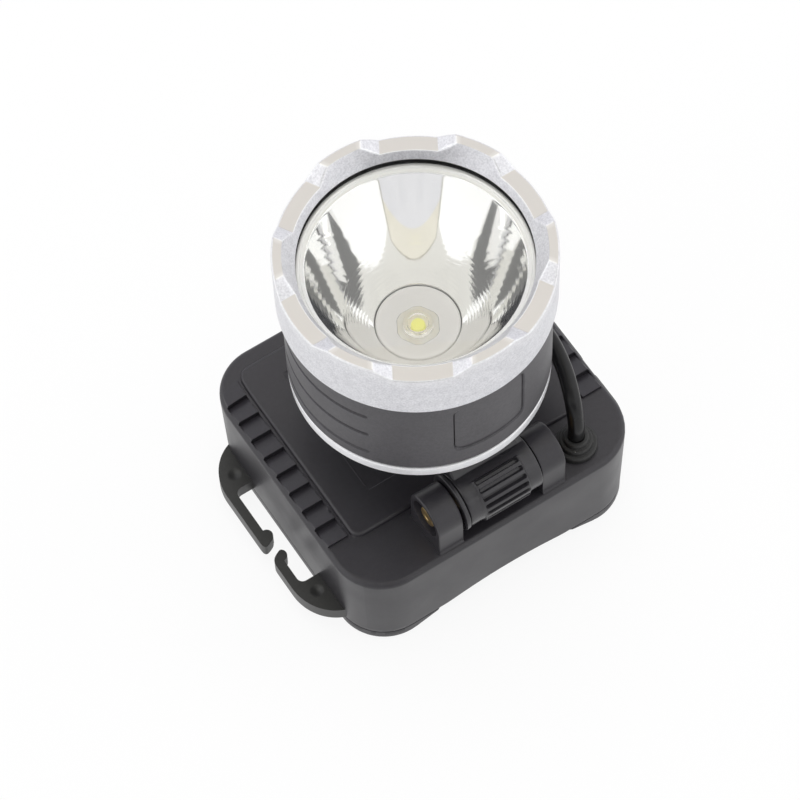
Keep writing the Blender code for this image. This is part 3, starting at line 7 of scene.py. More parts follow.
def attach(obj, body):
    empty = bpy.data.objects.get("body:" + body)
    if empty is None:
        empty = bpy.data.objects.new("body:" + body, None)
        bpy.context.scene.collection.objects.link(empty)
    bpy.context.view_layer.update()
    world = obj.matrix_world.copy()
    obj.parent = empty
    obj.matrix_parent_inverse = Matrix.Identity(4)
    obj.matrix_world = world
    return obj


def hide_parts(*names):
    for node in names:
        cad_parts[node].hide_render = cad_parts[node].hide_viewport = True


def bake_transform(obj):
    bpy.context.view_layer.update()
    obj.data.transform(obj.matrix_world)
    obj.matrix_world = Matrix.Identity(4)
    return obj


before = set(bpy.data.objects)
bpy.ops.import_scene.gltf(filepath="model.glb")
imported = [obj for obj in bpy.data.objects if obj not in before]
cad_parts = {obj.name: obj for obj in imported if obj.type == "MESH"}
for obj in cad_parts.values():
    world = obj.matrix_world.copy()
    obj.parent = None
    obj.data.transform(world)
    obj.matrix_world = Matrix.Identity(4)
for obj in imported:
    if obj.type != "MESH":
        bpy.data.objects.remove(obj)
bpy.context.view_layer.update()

mm = 0.001  # every length below is in millimetres, counted in the part's own frame
tau = 2 * np.pi
scene = bpy.context.scene


# ---- mesh tools ----

def gridFaces(rows, cols, wrapRows, wrapCols):
    # each quad joins a point to its neighbours in the next column and the next row
    r = np.arange(rows if wrapRows else rows - 1)[:, None]
    c = np.arange(cols if wrapCols else cols - 1)[None, :]
    up, right = (r + 1) % rows, (c + 1) % cols
    quads = np.stack([r * cols + c, r * cols + right, up * cols + right, up * cols + c], axis=-1)
    return quads.reshape(-1, 4)


def softCorners(points, radius, steps=4):
    # a corner becomes (1-t)^2 a + 2t(1-t) corner + t^2 b, with a and b one radius away along its sides
    points = np.asarray(points, float)
    radius = np.broadcast_to(np.asarray(radius, float), len(points))[:, None]
    before, after = np.roll(points, 1, 0) - points, np.roll(points, -1, 0) - points
    longBefore = np.linalg.norm(before, axis=1, keepdims=True)
    longAfter = np.linalg.norm(after, axis=1, keepdims=True)
    a = points + before / longBefore * np.minimum(radius, 0.49 * longBefore)
    b = points + after / longAfter * np.minimum(radius, 0.49 * longAfter)
    t = np.linspace(0, 1, steps + 1)[None, :, None]
    curve = (1 - t) ** 2 * a[:, None] + 2 * t * (1 - t) * points[:, None] + t**2 * b[:, None]
    return curve.reshape(-1, 2)


def arcPoints(centre, radius, start, end, steps):
    # centre + radius (cos a, sin a), with a from start to end in degrees
    a = np.radians(np.linspace(start, end, steps + 1))
    return np.stack([centre[0] + radius * np.cos(a), centre[1] + radius * np.sin(a)], axis=-1)


def layAlong(axis, u, v, w):
    # w runs along the named axis, u and v across it
    return np.stack({"x": (w, u, v), "y": (v, w, u), "z": (u, v, w)}[axis], axis=-1)


def turnRound(profile, columns, axis="z", centre=(0, 0, 0)):
    # point = centre + radius (cos a, sin a) across the axis + height along it
    profile = np.asarray(profile, float)
    a = np.linspace(0, tau, columns, endpoint=False)[None, :]
    radius, height = profile[:, 0, None], profile[:, 1, None] + 0 * a
    return layAlong(axis, radius * np.cos(a), radius * np.sin(a), height) + np.asarray(centre, float)


def smoothStep(value, low, high):
    # 3t^2 - 2t^3, with t going from 0 at low to 1 at high
    t = np.clip((value - low) / (high - low), 0, 1)
    return t * t * (3 - 2 * t)


def meshFrom(name, patches, marks=None):
    # patches are (points, list of face arrays); points that meet are merged, and the faces are turned outwards
    points = np.concatenate([p.reshape(-1, 3) for p, _ in patches]) * mm
    starts = np.cumsum([0] + [p.reshape(-1, 3).shape[0] for p, _ in patches])
    faces = [f + start for (_, group), start in zip(patches, starts) for f in group]
    sizes = np.concatenate([np.full(len(f), f.shape[1]) for f in faces])
    mesh = bpy.data.meshes.new(name)
    mesh.vertices.add(len(points))
    mesh.vertices.foreach_set("co", points.ravel())
    mesh.loops.add(int(sizes.sum()))
    mesh.loops.foreach_set("vertex_index", np.concatenate([f.ravel() for f in faces]).astype(np.int32))
    mesh.polygons.add(len(sizes))
    mesh.polygons.foreach_set("loop_start", (np.cumsum(sizes) - sizes).astype(np.int32))
    for mark, values in (marks or {}).items():
        mesh.attributes.new(mark, "FLOAT", "POINT").data.foreach_set("value", np.ravel(values).astype(np.float32))
    mesh.update(calc_edges=True)
    work = bmesh.new()
    work.from_mesh(mesh)
    bmesh.ops.remove_doubles(work, verts=work.verts, dist=1e-7)
    if work.calc_volume(signed=True) < 0:
        bmesh.ops.reverse_faces(work, faces=work.faces)
    work.to_mesh(mesh)
    work.free()
    return mesh


def addPiece(name, patches, body, finish, hides=(), sharp=35, marks=None, edge=0.0, edgeSteps=3):
    mesh = meshFrom(name, patches, marks)
    mesh.shade_smooth()
    mesh.set_sharp_from_angle(angle=np.radians(sharp))
    for one in finish if isinstance(finish, (list, tuple)) else [finish]:
        mesh.materials.append(one)
    piece = bpy.data.objects.new(name, mesh)
    scene.collection.objects.link(piece)
    if edge:
        rounding = piece.modifiers.new("rounding", "BEVEL")
        rounding.width, rounding.segments, rounding.limit_method = edge * mm, edgeSteps, "ANGLE"
        rounding.angle_limit, rounding.harden_normals = np.radians(40), True
    else:
        even = piece.modifiers.new("evenShading", "WEIGHTED_NORMAL")
        even.mode, even.keep_sharp = "FACE_AREA", True
    if body:
        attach(piece, body)
    if hides:
        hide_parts(*hides)
    return piece


def surface(points, wrapRows=True, wrapCols=True):
    rows, cols = points.shape[:2]
    return points, [gridFaces(rows, cols, wrapRows, wrapCols)]


def slab(outline, low, high, axis="z"):
    # the outline carried from low to high, with a flat face at each end
    outline = np.asarray(outline, float)
    count = len(outline)
    ends = [layAlong(axis, outline[:, 0], outline[:, 1], np.full(count, level)) for level in (low, high)]
    around = gridFaces(2, count, False, True)
    return np.concatenate(ends), [around, np.arange(count)[None, ::-1], np.arange(count, 2 * count)[None, :]]


# ---- camera ----

def addCamera():
    # the eye and the three directions come from the fit of the lamp's circles and the case's corners
    view = dict(
        eye=(-198.388, -328.584, 726.909),
        right=(0.83882654, -0.54385212, -0.02439074),
        up=(0.48637043, 0.72853453, 0.48237044),
        ahead=(0.24456869, 0.41648806, -0.87562769),
        focal=160.704, sensor=36.0,
    )
    lens = bpy.data.cameras.new("photoCamera")
    lens.sensor_width, lens.lens = view["sensor"], view["focal"]
    lens.clip_start, lens.clip_end = 0.01, 20
    camera = bpy.data.objects.new("photoCamera", lens)
    scene.collection.objects.link(camera)
    turn = Matrix((view["right"], view["up"], [-v for v in view["ahead"]])).transposed()
    camera.matrix_world = Matrix.Translation(Vector(view["eye"]) * mm) @ turn.to_4x4()
    scene.camera = camera
    print("camera placed")


addCamera()


# ---- node tools ----

def addNode(tree, kind, settings=None, **inputs):
    made = tree.nodes.new("ShaderNode" + kind)
    for key, value in (settings or {}).items():
        setattr(made, key, value)
    for key, value in inputs.items():
        key = key.replace("_", " ")
        socket = made.inputs[int(key[3:])] if key.startswith("in ") else made.inputs[key]
        if isinstance(value, bpy.types.NodeSocket):
            tree.links.new(value, socket)
        else:
            socket.default_value = (*value, 1.0) if isinstance(value, tuple) and len(value) == 3 and socket.type == "RGBA" else value
    return made


def startGroup(name, inputs, outputs):
    # inputs are (name, value), outputs are (name, kind)
    group = bpy.data.node_groups.new(name, "ShaderNodeTree")
    for label, value in inputs:
        group.interface.new_socket(label, in_out="INPUT", socket_type="NodeSocketFloat").default_value = value
    for label, kind in outputs:
        group.interface.new_socket(label, in_out="OUTPUT", socket_type=kind)
    return group, group.nodes.new("NodeGroupInput"), group.nodes.new("NodeGroupOutput")


def useGroup(tree, group, **values):
    made = tree.nodes.new("ShaderNodeGroup")
    made.node_tree = group
    for key, value in values.items():
        socket = made.inputs[key]
        if isinstance(value, bpy.types.NodeSocket):
            tree.links.new(value, socket)
        else:
            socket.default_value = value
    return made


def objectPlace(tree):
    return addNode(tree, "TexCoord").outputs["Object"]


def grainGroup():
    # fine grain: two sizes of noise, mixed, as a height and as a 0..1 mask
    group, inside, outside = startGroup("fineGrain", [("size", 0.3), ("coarse", 0.35)], [("height", "NodeSocketFloat"), ("patches", "NodeSocketFloat")])
    perMetre = addNode(group, "Math", dict(operation="DIVIDE"), in_0=1000.0, in_1=inside.outputs["size"]).outputs[0]
    place = objectPlace(group)
    small = addNode(group, "TexNoise", Vector=place, Scale=perMetre, Detail=2.0, Roughness=0.55).outputs["Fac"]
    wide = addNode(group, "Math", dict(operation="MULTIPLY"), in_0=perMetre, in_1=0.23).outputs[0]
    large = addNode(group, "TexNoise", Vector=place, Scale=wide, Detail=1.0).outputs["Fac"]
    both = addNode(group, "Mix", Factor=inside.outputs["coarse"], A=small, B=large).outputs["Result"]
    broad = addNode(group, "TexNoise", Vector=place, Scale=70.0, Detail=3.0).outputs["Fac"]
    group.links.new(both, outside.inputs["height"])
    group.links.new(broad, outside.inputs["patches"])
    return group


def dustGroup():
    # dust: a few round specks, where a scattered cell's own value is high and its centre is near
    group, inside, outside = startGroup("dustSpecks", [("spacing", 4.0), ("size", 0.1), ("share", 0.2)], [("mask", "NodeSocketFloat")])
    perMetre = addNode(group, "Math", dict(operation="DIVIDE"), in_0=1000.0, in_1=inside.outputs["spacing"]).outputs[0]
    cells = addNode(group, "TexVoronoi", Vector=objectPlace(group), Scale=perMetre, Randomness=1.0)
    reach = addNode(group, "Math", dict(operation="DIVIDE"), in_0=inside.outputs["size"], in_1=inside.outputs["spacing"]).outputs[0]
    near = addNode(group, "Math", dict(operation="LESS_THAN"), in_0=cells.outputs["Distance"], in_1=reach).outputs[0]
    pick = addNode(group, "SeparateColor", Color=cells.outputs["Color"]).outputs[0]
    chosen = addNode(group, "Math", dict(operation="LESS_THAN"), in_0=pick, in_1=inside.outputs["share"]).outputs[0]
    mask = addNode(group, "Math", dict(operation="MULTIPLY"), in_0=near, in_1=chosen).outputs[0]
    group.links.new(mask, outside.inputs["mask"])
    return group


def dimpleGroup():
    # a round dent at a point: 1 at the centre, falling smoothly to 0 at its radius
    group = bpy.data.node_groups.new("roundDent", "ShaderNodeTree")
    group.interface.new_socket("centre", in_out="INPUT", socket_type="NodeSocketVector")
    group.interface.new_socket("radius", in_out="INPUT", socket_type="NodeSocketFloat").default_value = 1.0
    group.interface.new_socket("depth", in_out="OUTPUT", socket_type="NodeSocketFloat")
    inside, outside = group.nodes.new("NodeGroupInput"), group.nodes.new("NodeGroupOutput")
    away = addNode(group, "VectorMath", dict(operation="DISTANCE"), in_0=objectPlace(group), in_1=inside.outputs["centre"]).outputs["Value"]
    metres = addNode(group, "Math", dict(operation="MULTIPLY"), in_0=inside.outputs["radius"], in_1=mm).outputs[0]
    fall = addNode(group, "MapRange", dict(interpolation_type="SMOOTHSTEP"), Value=away, From_Min=metres, From_Max=0.0).outputs["Result"]
    group.links.new(fall, outside.inputs["depth"])
    return group


grain, dust, dent = grainGroup(), dustGroup(), dimpleGroup()


def newFinish(name):
    made = bpy.data.materials.new(name)
    made.use_nodes = True
    return made, made.node_tree, made.node_tree.nodes["Principled BSDF"]


def grainyFinish(name, look, extra=None):
    """Base colour shifted by the grain, roughness by broad patches, bump by the grain, and dust specks where the look
    asks for them.
    """
    made, tree, shader = newFinish(name)
    part = useGroup(tree, grain, size=look["grain"], coarse=look.get("coarse", 0.35))
    blend = addNode(tree, "MapRange", Value=part.outputs["height"], From_Min=0.25, From_Max=0.75).outputs["Result"]
    colour = addNode(tree, "Mix", dict(data_type="RGBA"), in_0=blend)
    colour.inputs[6].default_value = (*look["dark"], 1)
    colour.inputs[7].default_value = (*look["pale"], 1)
    result = colour.outputs[2]
    if look.get("dust"):
        specks = useGroup(tree, dust, spacing=look["dust"][0], size=look["dust"][1], share=look["dust"][2])
        dusty = addNode(tree, "Mix", dict(data_type="RGBA"), in_0=specks.outputs["mask"])
        dusty.inputs[7].default_value = (*look.get("dustColour", (0.45, 0.45, 0.44)), 1)
        tree.links.new(result, dusty.inputs[6])
        result = dusty.outputs[2]
    tree.links.new(result, shader.inputs["Base Color"])
    rough = addNode(tree, "MapRange", Value=part.outputs["patches"], From_Min=0.3, From_Max=0.7, To_Min=look["rough"][0], To_Max=look["rough"][1])
    tree.links.new(rough.outputs["Result"], shader.inputs["Roughness"])
    bump = addNode(tree, "Bump", Strength=look["bump"], Distance=look.get("bumpDepth", 0.02) * mm, Height=part.outputs["height"])
    tree.links.new(bump.outputs["Normal"], shader.inputs["Normal"])
    shader.inputs["Metallic"].default_value = look.get("metal", 0.0)
    shader.inputs["IOR"].default_value = look.get("ior", 1.5)
    if look.get("coat"):
        shader.inputs["Coat Weight"].default_value = look["coat"]
        shader.inputs["Coat Roughness"].default_value = look.get("coatRough", 0.1)
    if extra:
        extra(tree, shader, result, bump)
    return made


print("node groups ready")


# ---- finishes ----

def addDents(tree, shader, colour, bump):
    # a sink mark in each strap loop, seen as a soft dent
    heights = None
    for x in (-39.3, 39.3):
        for y in (-16.9, 18.3):
            one = useGroup(tree, dent, centre=(x * mm, y * mm, 7.5 * mm), radius=1.75).outputs["depth"]
            heights = one if heights is None else addNode(tree, "Math", dict(operation="ADD"), in_0=heights, in_1=one).outputs[0]
    dip = addNode(tree, "Bump", dict(invert=True), Strength=1.0, Distance=0.36 * mm, Height=heights, Normal=bump.outputs["Normal"])
    tree.links.new(dip.outputs["Normal"], shader.inputs["Normal"])


def addPaintedGlow(tree, shader, colour, bump):
    # painted glow: a faint yellow emission of its own, standing in for the light the phosphor gives back under daylight
    shader.inputs["Emission Color"].default_value = (1.0, 0.98, 0.30, 1)
    shader.inputs["Emission Strength"].default_value = 0.22


def milledFacesAndPaintedHighlight(tree, shader, colour, bump):
    # the faces that the cutter left, marked 1 on the mesh, are plainer and warmer than the blasted ones
    mark = addNode(tree, "Attribute", dict(attribute_name="milled")).outputs["Fac"]
    warm = addNode(tree, "Mix", dict(data_type="RGBA"), in_0=mark)
    tree.links.new(colour, warm.inputs[6])
    warm.inputs[7].default_value = (0.63, 0.605, 0.575, 1)
    # painted highlight: each marked crease and outer edge is whitened, standing in for the bright line of light along
    # it
    paintedHighlightMask = addNode(tree, "Attribute", dict(attribute_name="paintedHighlightMask")).outputs["Fac"]
    paintedHighlightMix = addNode(tree, "Mix", dict(data_type="RGBA"), in_0=paintedHighlightMask)
    tree.links.new(warm.outputs[2], paintedHighlightMix.inputs[6])
    paintedHighlightMix.inputs[7].default_value = (1.0, 1.0, 1.0, 1)
    tree.links.new(paintedHighlightMix.outputs[2], shader.inputs["Base Color"])


satinBlack = grainyFinish("satinBlackPlastic", dict(
    dark=(0.0185, 0.017, 0.021), pale=(0.0275, 0.0255, 0.031), grain=0.22, rough=(0.34, 0.44), bump=0.35, dust=(5.5, 0.11, 0.10)))
loopBlack = grainyFinish("strapLoopPlastic", dict(
    dark=(0.020, 0.020, 0.019), pale=(0.028, 0.028, 0.027), grain=0.22, rough=(0.34, 0.44), bump=0.3), addDents)
glossBlack = grainyFinish("glossBlackPlastic", dict(
    dark=(0.023, 0.022, 0.025), pale=(0.031, 0.029, 0.034), grain=0.3, rough=(0.26, 0.34), bump=0.08, dust=(3.2, 0.09, 0.12)))
barrelBlack = grainyFinish("blastedBlackAluminium", dict(
    dark=(0.048, 0.046, 0.051), pale=(0.092, 0.088, 0.097), grain=0.2, rough=(0.42, 0.5), bump=0.4, metal=0.35, dust=(7.0, 0.12, 0.12)))
blastedSilver = grainyFinish("blastedSilverAluminium", dict(
    dark=(0.55, 0.55, 0.58), pale=(0.85, 0.85, 0.88), grain=0.42, coarse=0.25, rough=(0.34, 0.42), bump=0.9, bumpDepth=0.035, metal=0.75, dust=(6.0, 0.12, 0.06),
    dustColour=(0.25, 0.24, 0.22)), milledFacesAndPaintedHighlight)
ringSilver = grainyFinish("turnedSilverAluminium", dict(
    dark=(0.80, 0.80, 0.82), pale=(0.93, 0.93, 0.95), grain=0.25, rough=(0.34, 0.42), bump=0.3, metal=0.5))
rubberBlack = grainyFinish("blackRubber", dict(
    dark=(0.012, 0.012, 0.012), pale=(0.022, 0.022, 0.022), grain=0.35, rough=(0.45, 0.6), bump=0.3, dust=(3.0, 0.1, 0.1)))
cordRubber = grainyFinish("cordRubber", dict(
    dark=(0.005, 0.005, 0.0055), pale=(0.009, 0.009, 0.010), grain=0.4, rough=(0.26, 0.34), bump=0.2, ior=1.36))
palePlastic = grainyFinish("warmPalePlastic", dict(
    dark=(0.955, 0.935, 0.885), pale=(0.985, 0.965, 0.92), grain=0.3, rough=(0.42, 0.5), bump=0.15))
rimPale = grainyFinish("reflectorRim", dict(
    dark=(0.92, 0.92, 0.885), pale=(0.97, 0.97, 0.94), grain=0.3, rough=(0.16, 0.24), bump=0.05, metal=0.35))
ceramic = grainyFinish("ledCeramic", dict(
    dark=(0.91, 0.86, 0.70), pale=(0.97, 0.95, 0.86), grain=0.8, coarse=0.8, rough=(0.35, 0.5), bump=0.3))
phosphorYellow = grainyFinish("phosphorYellow", dict(
    dark=(0.93, 0.94, 0.16), pale=(0.97, 0.98, 0.26), grain=0.15, rough=(0.5, 0.6), bump=0.2), addPaintedGlow)
steel = grainyFinish("screwSteel", dict(
    dark=(0.46, 0.46, 0.47), pale=(0.6, 0.6, 0.6), grain=0.3, rough=(0.2, 0.32), bump=0.15, metal=1.0))
darkSteel = grainyFinish("blackenedSteel", dict(
    dark=(0.05, 0.05, 0.052), pale=(0.11, 0.11, 0.115), grain=0.3, rough=(0.16, 0.26), bump=0.15, metal=0.9))
brass = grainyFinish("boltBrass", dict(
    dark=(0.55, 0.38, 0.16), pale=(0.75, 0.56, 0.28), grain=0.25, rough=(0.25, 0.38), bump=0.25, metal=1.0))
boardGreen = grainyFinish("boardGreen", dict(
    dark=(0.02, 0.12, 0.05), pale=(0.035, 0.18, 0.08), grain=0.6, rough=(0.3, 0.45), bump=0.2))
boardPale = grainyFinish("boardPale", dict(
    dark=(0.20, 0.19, 0.165), pale=(0.26, 0.25, 0.22), grain=0.5, rough=(0.4, 0.5), bump=0.2))
cellWrap = grainyFinish("cellWrap", dict(
    dark=(0.03, 0.11, 0.33), pale=(0.05, 0.16, 0.42), grain=0.6, rough=(0.22, 0.35), bump=0.1))
coppery = grainyFinish("nickelStrip", dict(
    dark=(0.55, 0.53, 0.48), pale=(0.7, 0.68, 0.62), grain=0.4, rough=(0.25, 0.4), bump=0.2, metal=1.0))
trayPlastic = grainyFinish("trayPlastic", dict(
    dark=(0.03, 0.03, 0.032), pale=(0.045, 0.045, 0.047), grain=0.3, rough=(0.5, 0.6), bump=0.2))


def chromeFinish():
    """Vacuum-plated plastic: a mirror with a faint warm cast and a trace of haze."""
    made, tree, shader = newFinish("mirrorChrome")
    part = useGroup(tree, grain, size=2.5, coarse=0.7)
    tint = addNode(tree, "Mix", dict(data_type="RGBA"), in_0=part.outputs["patches"])
    tint.inputs[6].default_value, tint.inputs[7].default_value = (0.90, 0.90, 0.89, 1), (0.94, 0.94, 0.925, 1)
    tree.links.new(tint.outputs[2], shader.inputs["Base Color"])
    haze = addNode(tree, "MapRange", Value=part.outputs["patches"], From_Min=0.3, From_Max=0.7, To_Min=0.03, To_Max=0.06)
    tree.links.new(haze.outputs["Result"], shader.inputs["Roughness"])
    shader.inputs["Metallic"].default_value = 1.0
    return made


def clearFinish(name, ior, tint, haze):
    """Clear material: Principled glass, which a lamp's light passes straight through."""
    made, tree, shader = newFinish(name)
    shader.inputs["Base Color"].default_value = (*tint, 1)
    shader.inputs["Roughness"].default_value = haze
    shader.inputs["Metallic"].default_value = 0.0
    shader.inputs["Transmission Weight"].default_value = 1.0
    shader.inputs["IOR"].default_value = ior
    passing = addNode(tree, "BsdfTransparent", Color=(0.97, 0.97, 0.97))
    ray = addNode(tree, "LightPath").outputs["Is Shadow Ray"]
    mix = addNode(tree, "MixShader", in_0=ray)
    tree.links.new(shader.outputs[0], mix.inputs[1])
    tree.links.new(passing.outputs[0], mix.inputs[2])
    tree.links.new(mix.outputs[0], tree.nodes["Material Output"].inputs["Surface"])
    return made


chrome = chromeFinish()
lensClear = clearFinish("lensClear", 1.49, (1.0, 1.0, 1.0), 0.0)
domeClear = clearFinish("domeClear", 1.41, (1.0, 0.985, 0.93), 0.14)
print("finishes ready")


# ---- lead ----

def addLead():
    """A round tube along a smooth path: point = path + radius (cos a * across + sin a * over)."""
    lead = dict(radius=1.85, exit=(23.3, -27.0, 31.95), columns=40, stations=72)
    marks = np.array([
        lead["exit"], (23.3, -27.0, 35.65), (24.4, -23.6, 42.0), (26.4, -17.0, 45.0),
        (27.6, -9.0, 45.9), (26.6, -2.6, 45.9), (23.6, 0.0, 45.9), (19.9, 0.0, 45.9),
    ])
    before, start, end, after = marks[:-3, None], marks[1:-2, None], marks[2:-1, None], marks[3:, None]
    t = np.linspace(0, 1, 25)[None, :-1, None]
    bend = (2 * before - 5 * start + 4 * end - after) * t**2
    curve = (2 * start + (end - before) * t + bend + (3 * start - before - 3 * end + after) * t**3) / 2
    fine = np.concatenate([marks[:1], curve.reshape(-1, 3), marks[-2:]])
    run = np.concatenate([[0], np.cumsum(np.linalg.norm(np.diff(fine, axis=0), axis=1))])
    goal = np.linspace(0, run[-1], lead["stations"])
    path = np.stack([np.interp(goal, run, fine[:, k]) for k in range(3)], axis=-1)
    ahead = np.gradient(path, axis=0)
    ahead /= np.linalg.norm(ahead, axis=1, keepdims=True)
    across = np.cross(ahead, (0, 0.7071, -0.7071))
    across /= np.linalg.norm(across, axis=1, keepdims=True)
    over = np.cross(ahead, across)
    a = np.linspace(0, tau, lead["columns"], endpoint=False)[None, :, None]
    tube = path[:, None] + lead["radius"] * (np.cos(a) * across[:, None] + np.sin(a) * over[:, None])
    rows, cols = tube.shape[:2]
    faces = [gridFaces(rows, cols, False, True), np.arange(cols)[None, ::-1], np.arange((rows - 1) * cols, rows * cols)[None, :]]
    piece = addPiece("powerLead", [(tube, faces)], None, cordRubber, hides=["lead"])
    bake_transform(piece)
    print("lead laid, %.1f mm" % run[-1])


addLead()


# ---- battery case ----

case = dict(
    halfWidth=37.2, halfDepth=34.5, corner=12.0, wall=2.0, bottom=3.3, ceiling=25.4, shoulder=27.4, fillet=1.3, rim=0.3,
    draft=0.5, draftTop=26.1, archRise=5.0, archRadius=75.4,
    plateauSide=30.5, plateauFront=-20.0, plateauRear=30.3, plateauCorner=2.4, plateauRise=1.0, plateauFillet=0.75,
    panelSide=21.5, panelFront=-11.4, panelRear=24.0, panelCorner=1.6, panelDrop=0.22,
    teeth=9, toothPitch=5.3, toothMiddle=3.0, toothHalf=0.7, toothInner=31.1, toothOuter=36.4,
    portHeight=11.3, portHalf=5.8, portTop=7.6, portDepth=1.2,
)


def roundedBoxDistance(x, y, side, front, rear, corner):
    # how far a point is inside a rounded rectangle
    dx, dy = side - np.abs(x), np.minimum(y - front, rear - y)
    inCorner = (dx < corner) & (dy < corner)
    return np.where(inCorner, corner - np.hypot(corner - dx, corner - dy), np.minimum(dx, dy))


def toothWalls():
    return case["toothMiddle"] + (np.arange(case["teeth"]) - (case["teeth"] - 1) / 2) * case["toothPitch"]


def caseTopHeight(x, y, edge):
    """shoulder rounded towards the rim + the plateau's soft step - the shallow panel + sawteeth, half raised and half sunk, that climb towards each front wall"""
    fillet = case["fillet"]
    height = case["shoulder"] - fillet + np.sqrt(np.maximum(fillet**2 - np.clip(fillet - edge, 0, fillet) ** 2, 0))
    inPlateau = roundedBoxDistance(x, y, case["plateauSide"], case["plateauFront"], case["plateauRear"], case["plateauCorner"])
    foot, round_ = 0.08, case["plateauFillet"]
    rise = case["plateauRise"] - round_ + np.sqrt(np.maximum(round_**2 - np.clip(round_ - (inPlateau - foot), 0, round_) ** 2, 0))
    height += np.where(inPlateau > foot, rise, np.clip(inPlateau / foot, 0, 1) * (case["plateauRise"] - round_))
    inPanel = roundedBoxDistance(x, y, case["panelSide"], case["panelFront"], case["panelRear"], case["panelCorner"])
    height -= case["panelDrop"] * smoothStep(inPanel, -0.12, 0.12)
    walls = toothWalls()
    behind, pitch = y[..., None] - walls[None, None, :], case["toothPitch"]
    raised = np.where((behind > 0) & (behind < pitch), 1 - behind / pitch, 0).sum(-1)
    sunk = np.where((behind[..., 1:] < 0) & (behind[..., 1:] > -pitch), 1 + behind[..., 1:] / pitch, 0).sum(-1)
    band = smoothStep(np.abs(x), case["toothInner"] - 0.05, case["toothInner"] + 0.1)
    band = band * smoothStep(-np.abs(x), -case["toothOuter"] - 0.02, -case["toothOuter"] + 0.3)
    return height + case["toothHalf"] * (raised - sunk) * band


def caseLines():
    # the grid's own lines, set close wherever the surface bends
    side, foot = case["plateauSide"], np.array([0, 0.05, 0.1, 0.16, 0.25, 0.36, 0.5, 0.66, 0.86])
    right = [np.arange(0, 21.3, 2.0), [21.35, 21.42, 21.5, 21.58, 21.65], [22.6, 23.8, 25.2, 26.2, 27.2], np.arange(28.0, 29.6, 0.22), side - foot,
             [30.58, 30.72, 30.9, 31.05, 31.1, 31.15, 31.2, 31.8, 32.8, 33.8, 34.6, 34.95], np.arange(35.05, 36.9, 0.1), [case["halfWidth"] - case["rim"]]]
    right = np.unique(np.round(np.concatenate(right), 4))
    xs = np.concatenate([-right[:0:-1], right])
    walls = toothWalls()
    run = case["toothPitch"]
    teeth = (walls[:, None] + np.array([-run, -0.75 * run, -0.5 * run, -0.25 * run, -0.12 * run, -0.05, -0.01, 0.03, 0.12])[None, :]).ravel()
    end = case["halfDepth"] - case["rim"]
    ys = [teeth, case["plateauFront"] + foot, case["plateauRear"] - foot, np.arange(-19.2, -17.4, 0.22), np.arange(27.8, 29.6, 0.22),
          np.arange(32.7, end, 0.11), -np.arange(32.7, end, 0.11), [-end, end, -22.5, 22.5, -30.5, -28, -26, -24, -21.5, -20.15, 26, 30.45, 31.2, 32.2],
          case["panelFront"] + np.array([-0.12, -0.06, 0, 0.06, 0.12]), case["panelRear"] + np.array([-0.12, -0.06, 0, 0.06, 0.12]), [-12.9, -9.8, 22.8]]
    ys = np.unique(np.round(np.concatenate(ys), 4))
    keep = np.concatenate([[True], np.diff(ys) > 0.012])
    return xs, ys[keep]


def archHeight(x):
    # the underside's arch over the forehead: rise - radius + sqrt(radius^2 - x^2)
    return case["archRise"] - case["archRadius"] + np.sqrt(case["archRadius"] ** 2 - x**2)


def pressCorners(x, y, halfWidth, halfDepth, corner, rim):
    # a square grid's corners are pressed into arcs; edge is how far a point is inside the rounded outline
    reach, flatX, flatY = corner - rim, halfWidth - corner, halfDepth - corner
    p, q = np.maximum(np.abs(x) - flatX, 0), np.maximum(np.abs(y) - flatY, 0)
    arcX, arcY = p * np.sqrt(1 - q**2 / (2 * reach**2)), q * np.sqrt(1 - p**2 / (2 * reach**2))
    edge = corner - np.maximum(np.hypot(arcX, arcY), np.maximum(p * (q == 0), q * (p == 0)))
    placeX = np.sign(x) * (np.minimum(np.abs(x), flatX) + arcX)
    placeY = np.sign(y) * (np.minimum(np.abs(y), flatY) + arcY)
    return placeX, placeY, edge


def edgeLoop(top, flatX, flatY):
    # the grid's own border in order, and the direction in which each of its points leaves the outline
    rows, cols = top.shape[:2]
    index = np.arange(rows * cols).reshape(rows, cols)
    loop = np.concatenate([index[0, :-1], index[:-1, -1], index[-1, :0:-1], index[:0:-1, 0]])
    start = top.reshape(-1, 3)[loop]
    centre = np.stack([np.clip(start[:, 0], -flatX, flatX), np.clip(start[:, 1], -flatY, flatY)], axis=-1)
    outward = start[:, :2] - centre
    return start, outward / np.linalg.norm(outward, axis=1, keepdims=True)


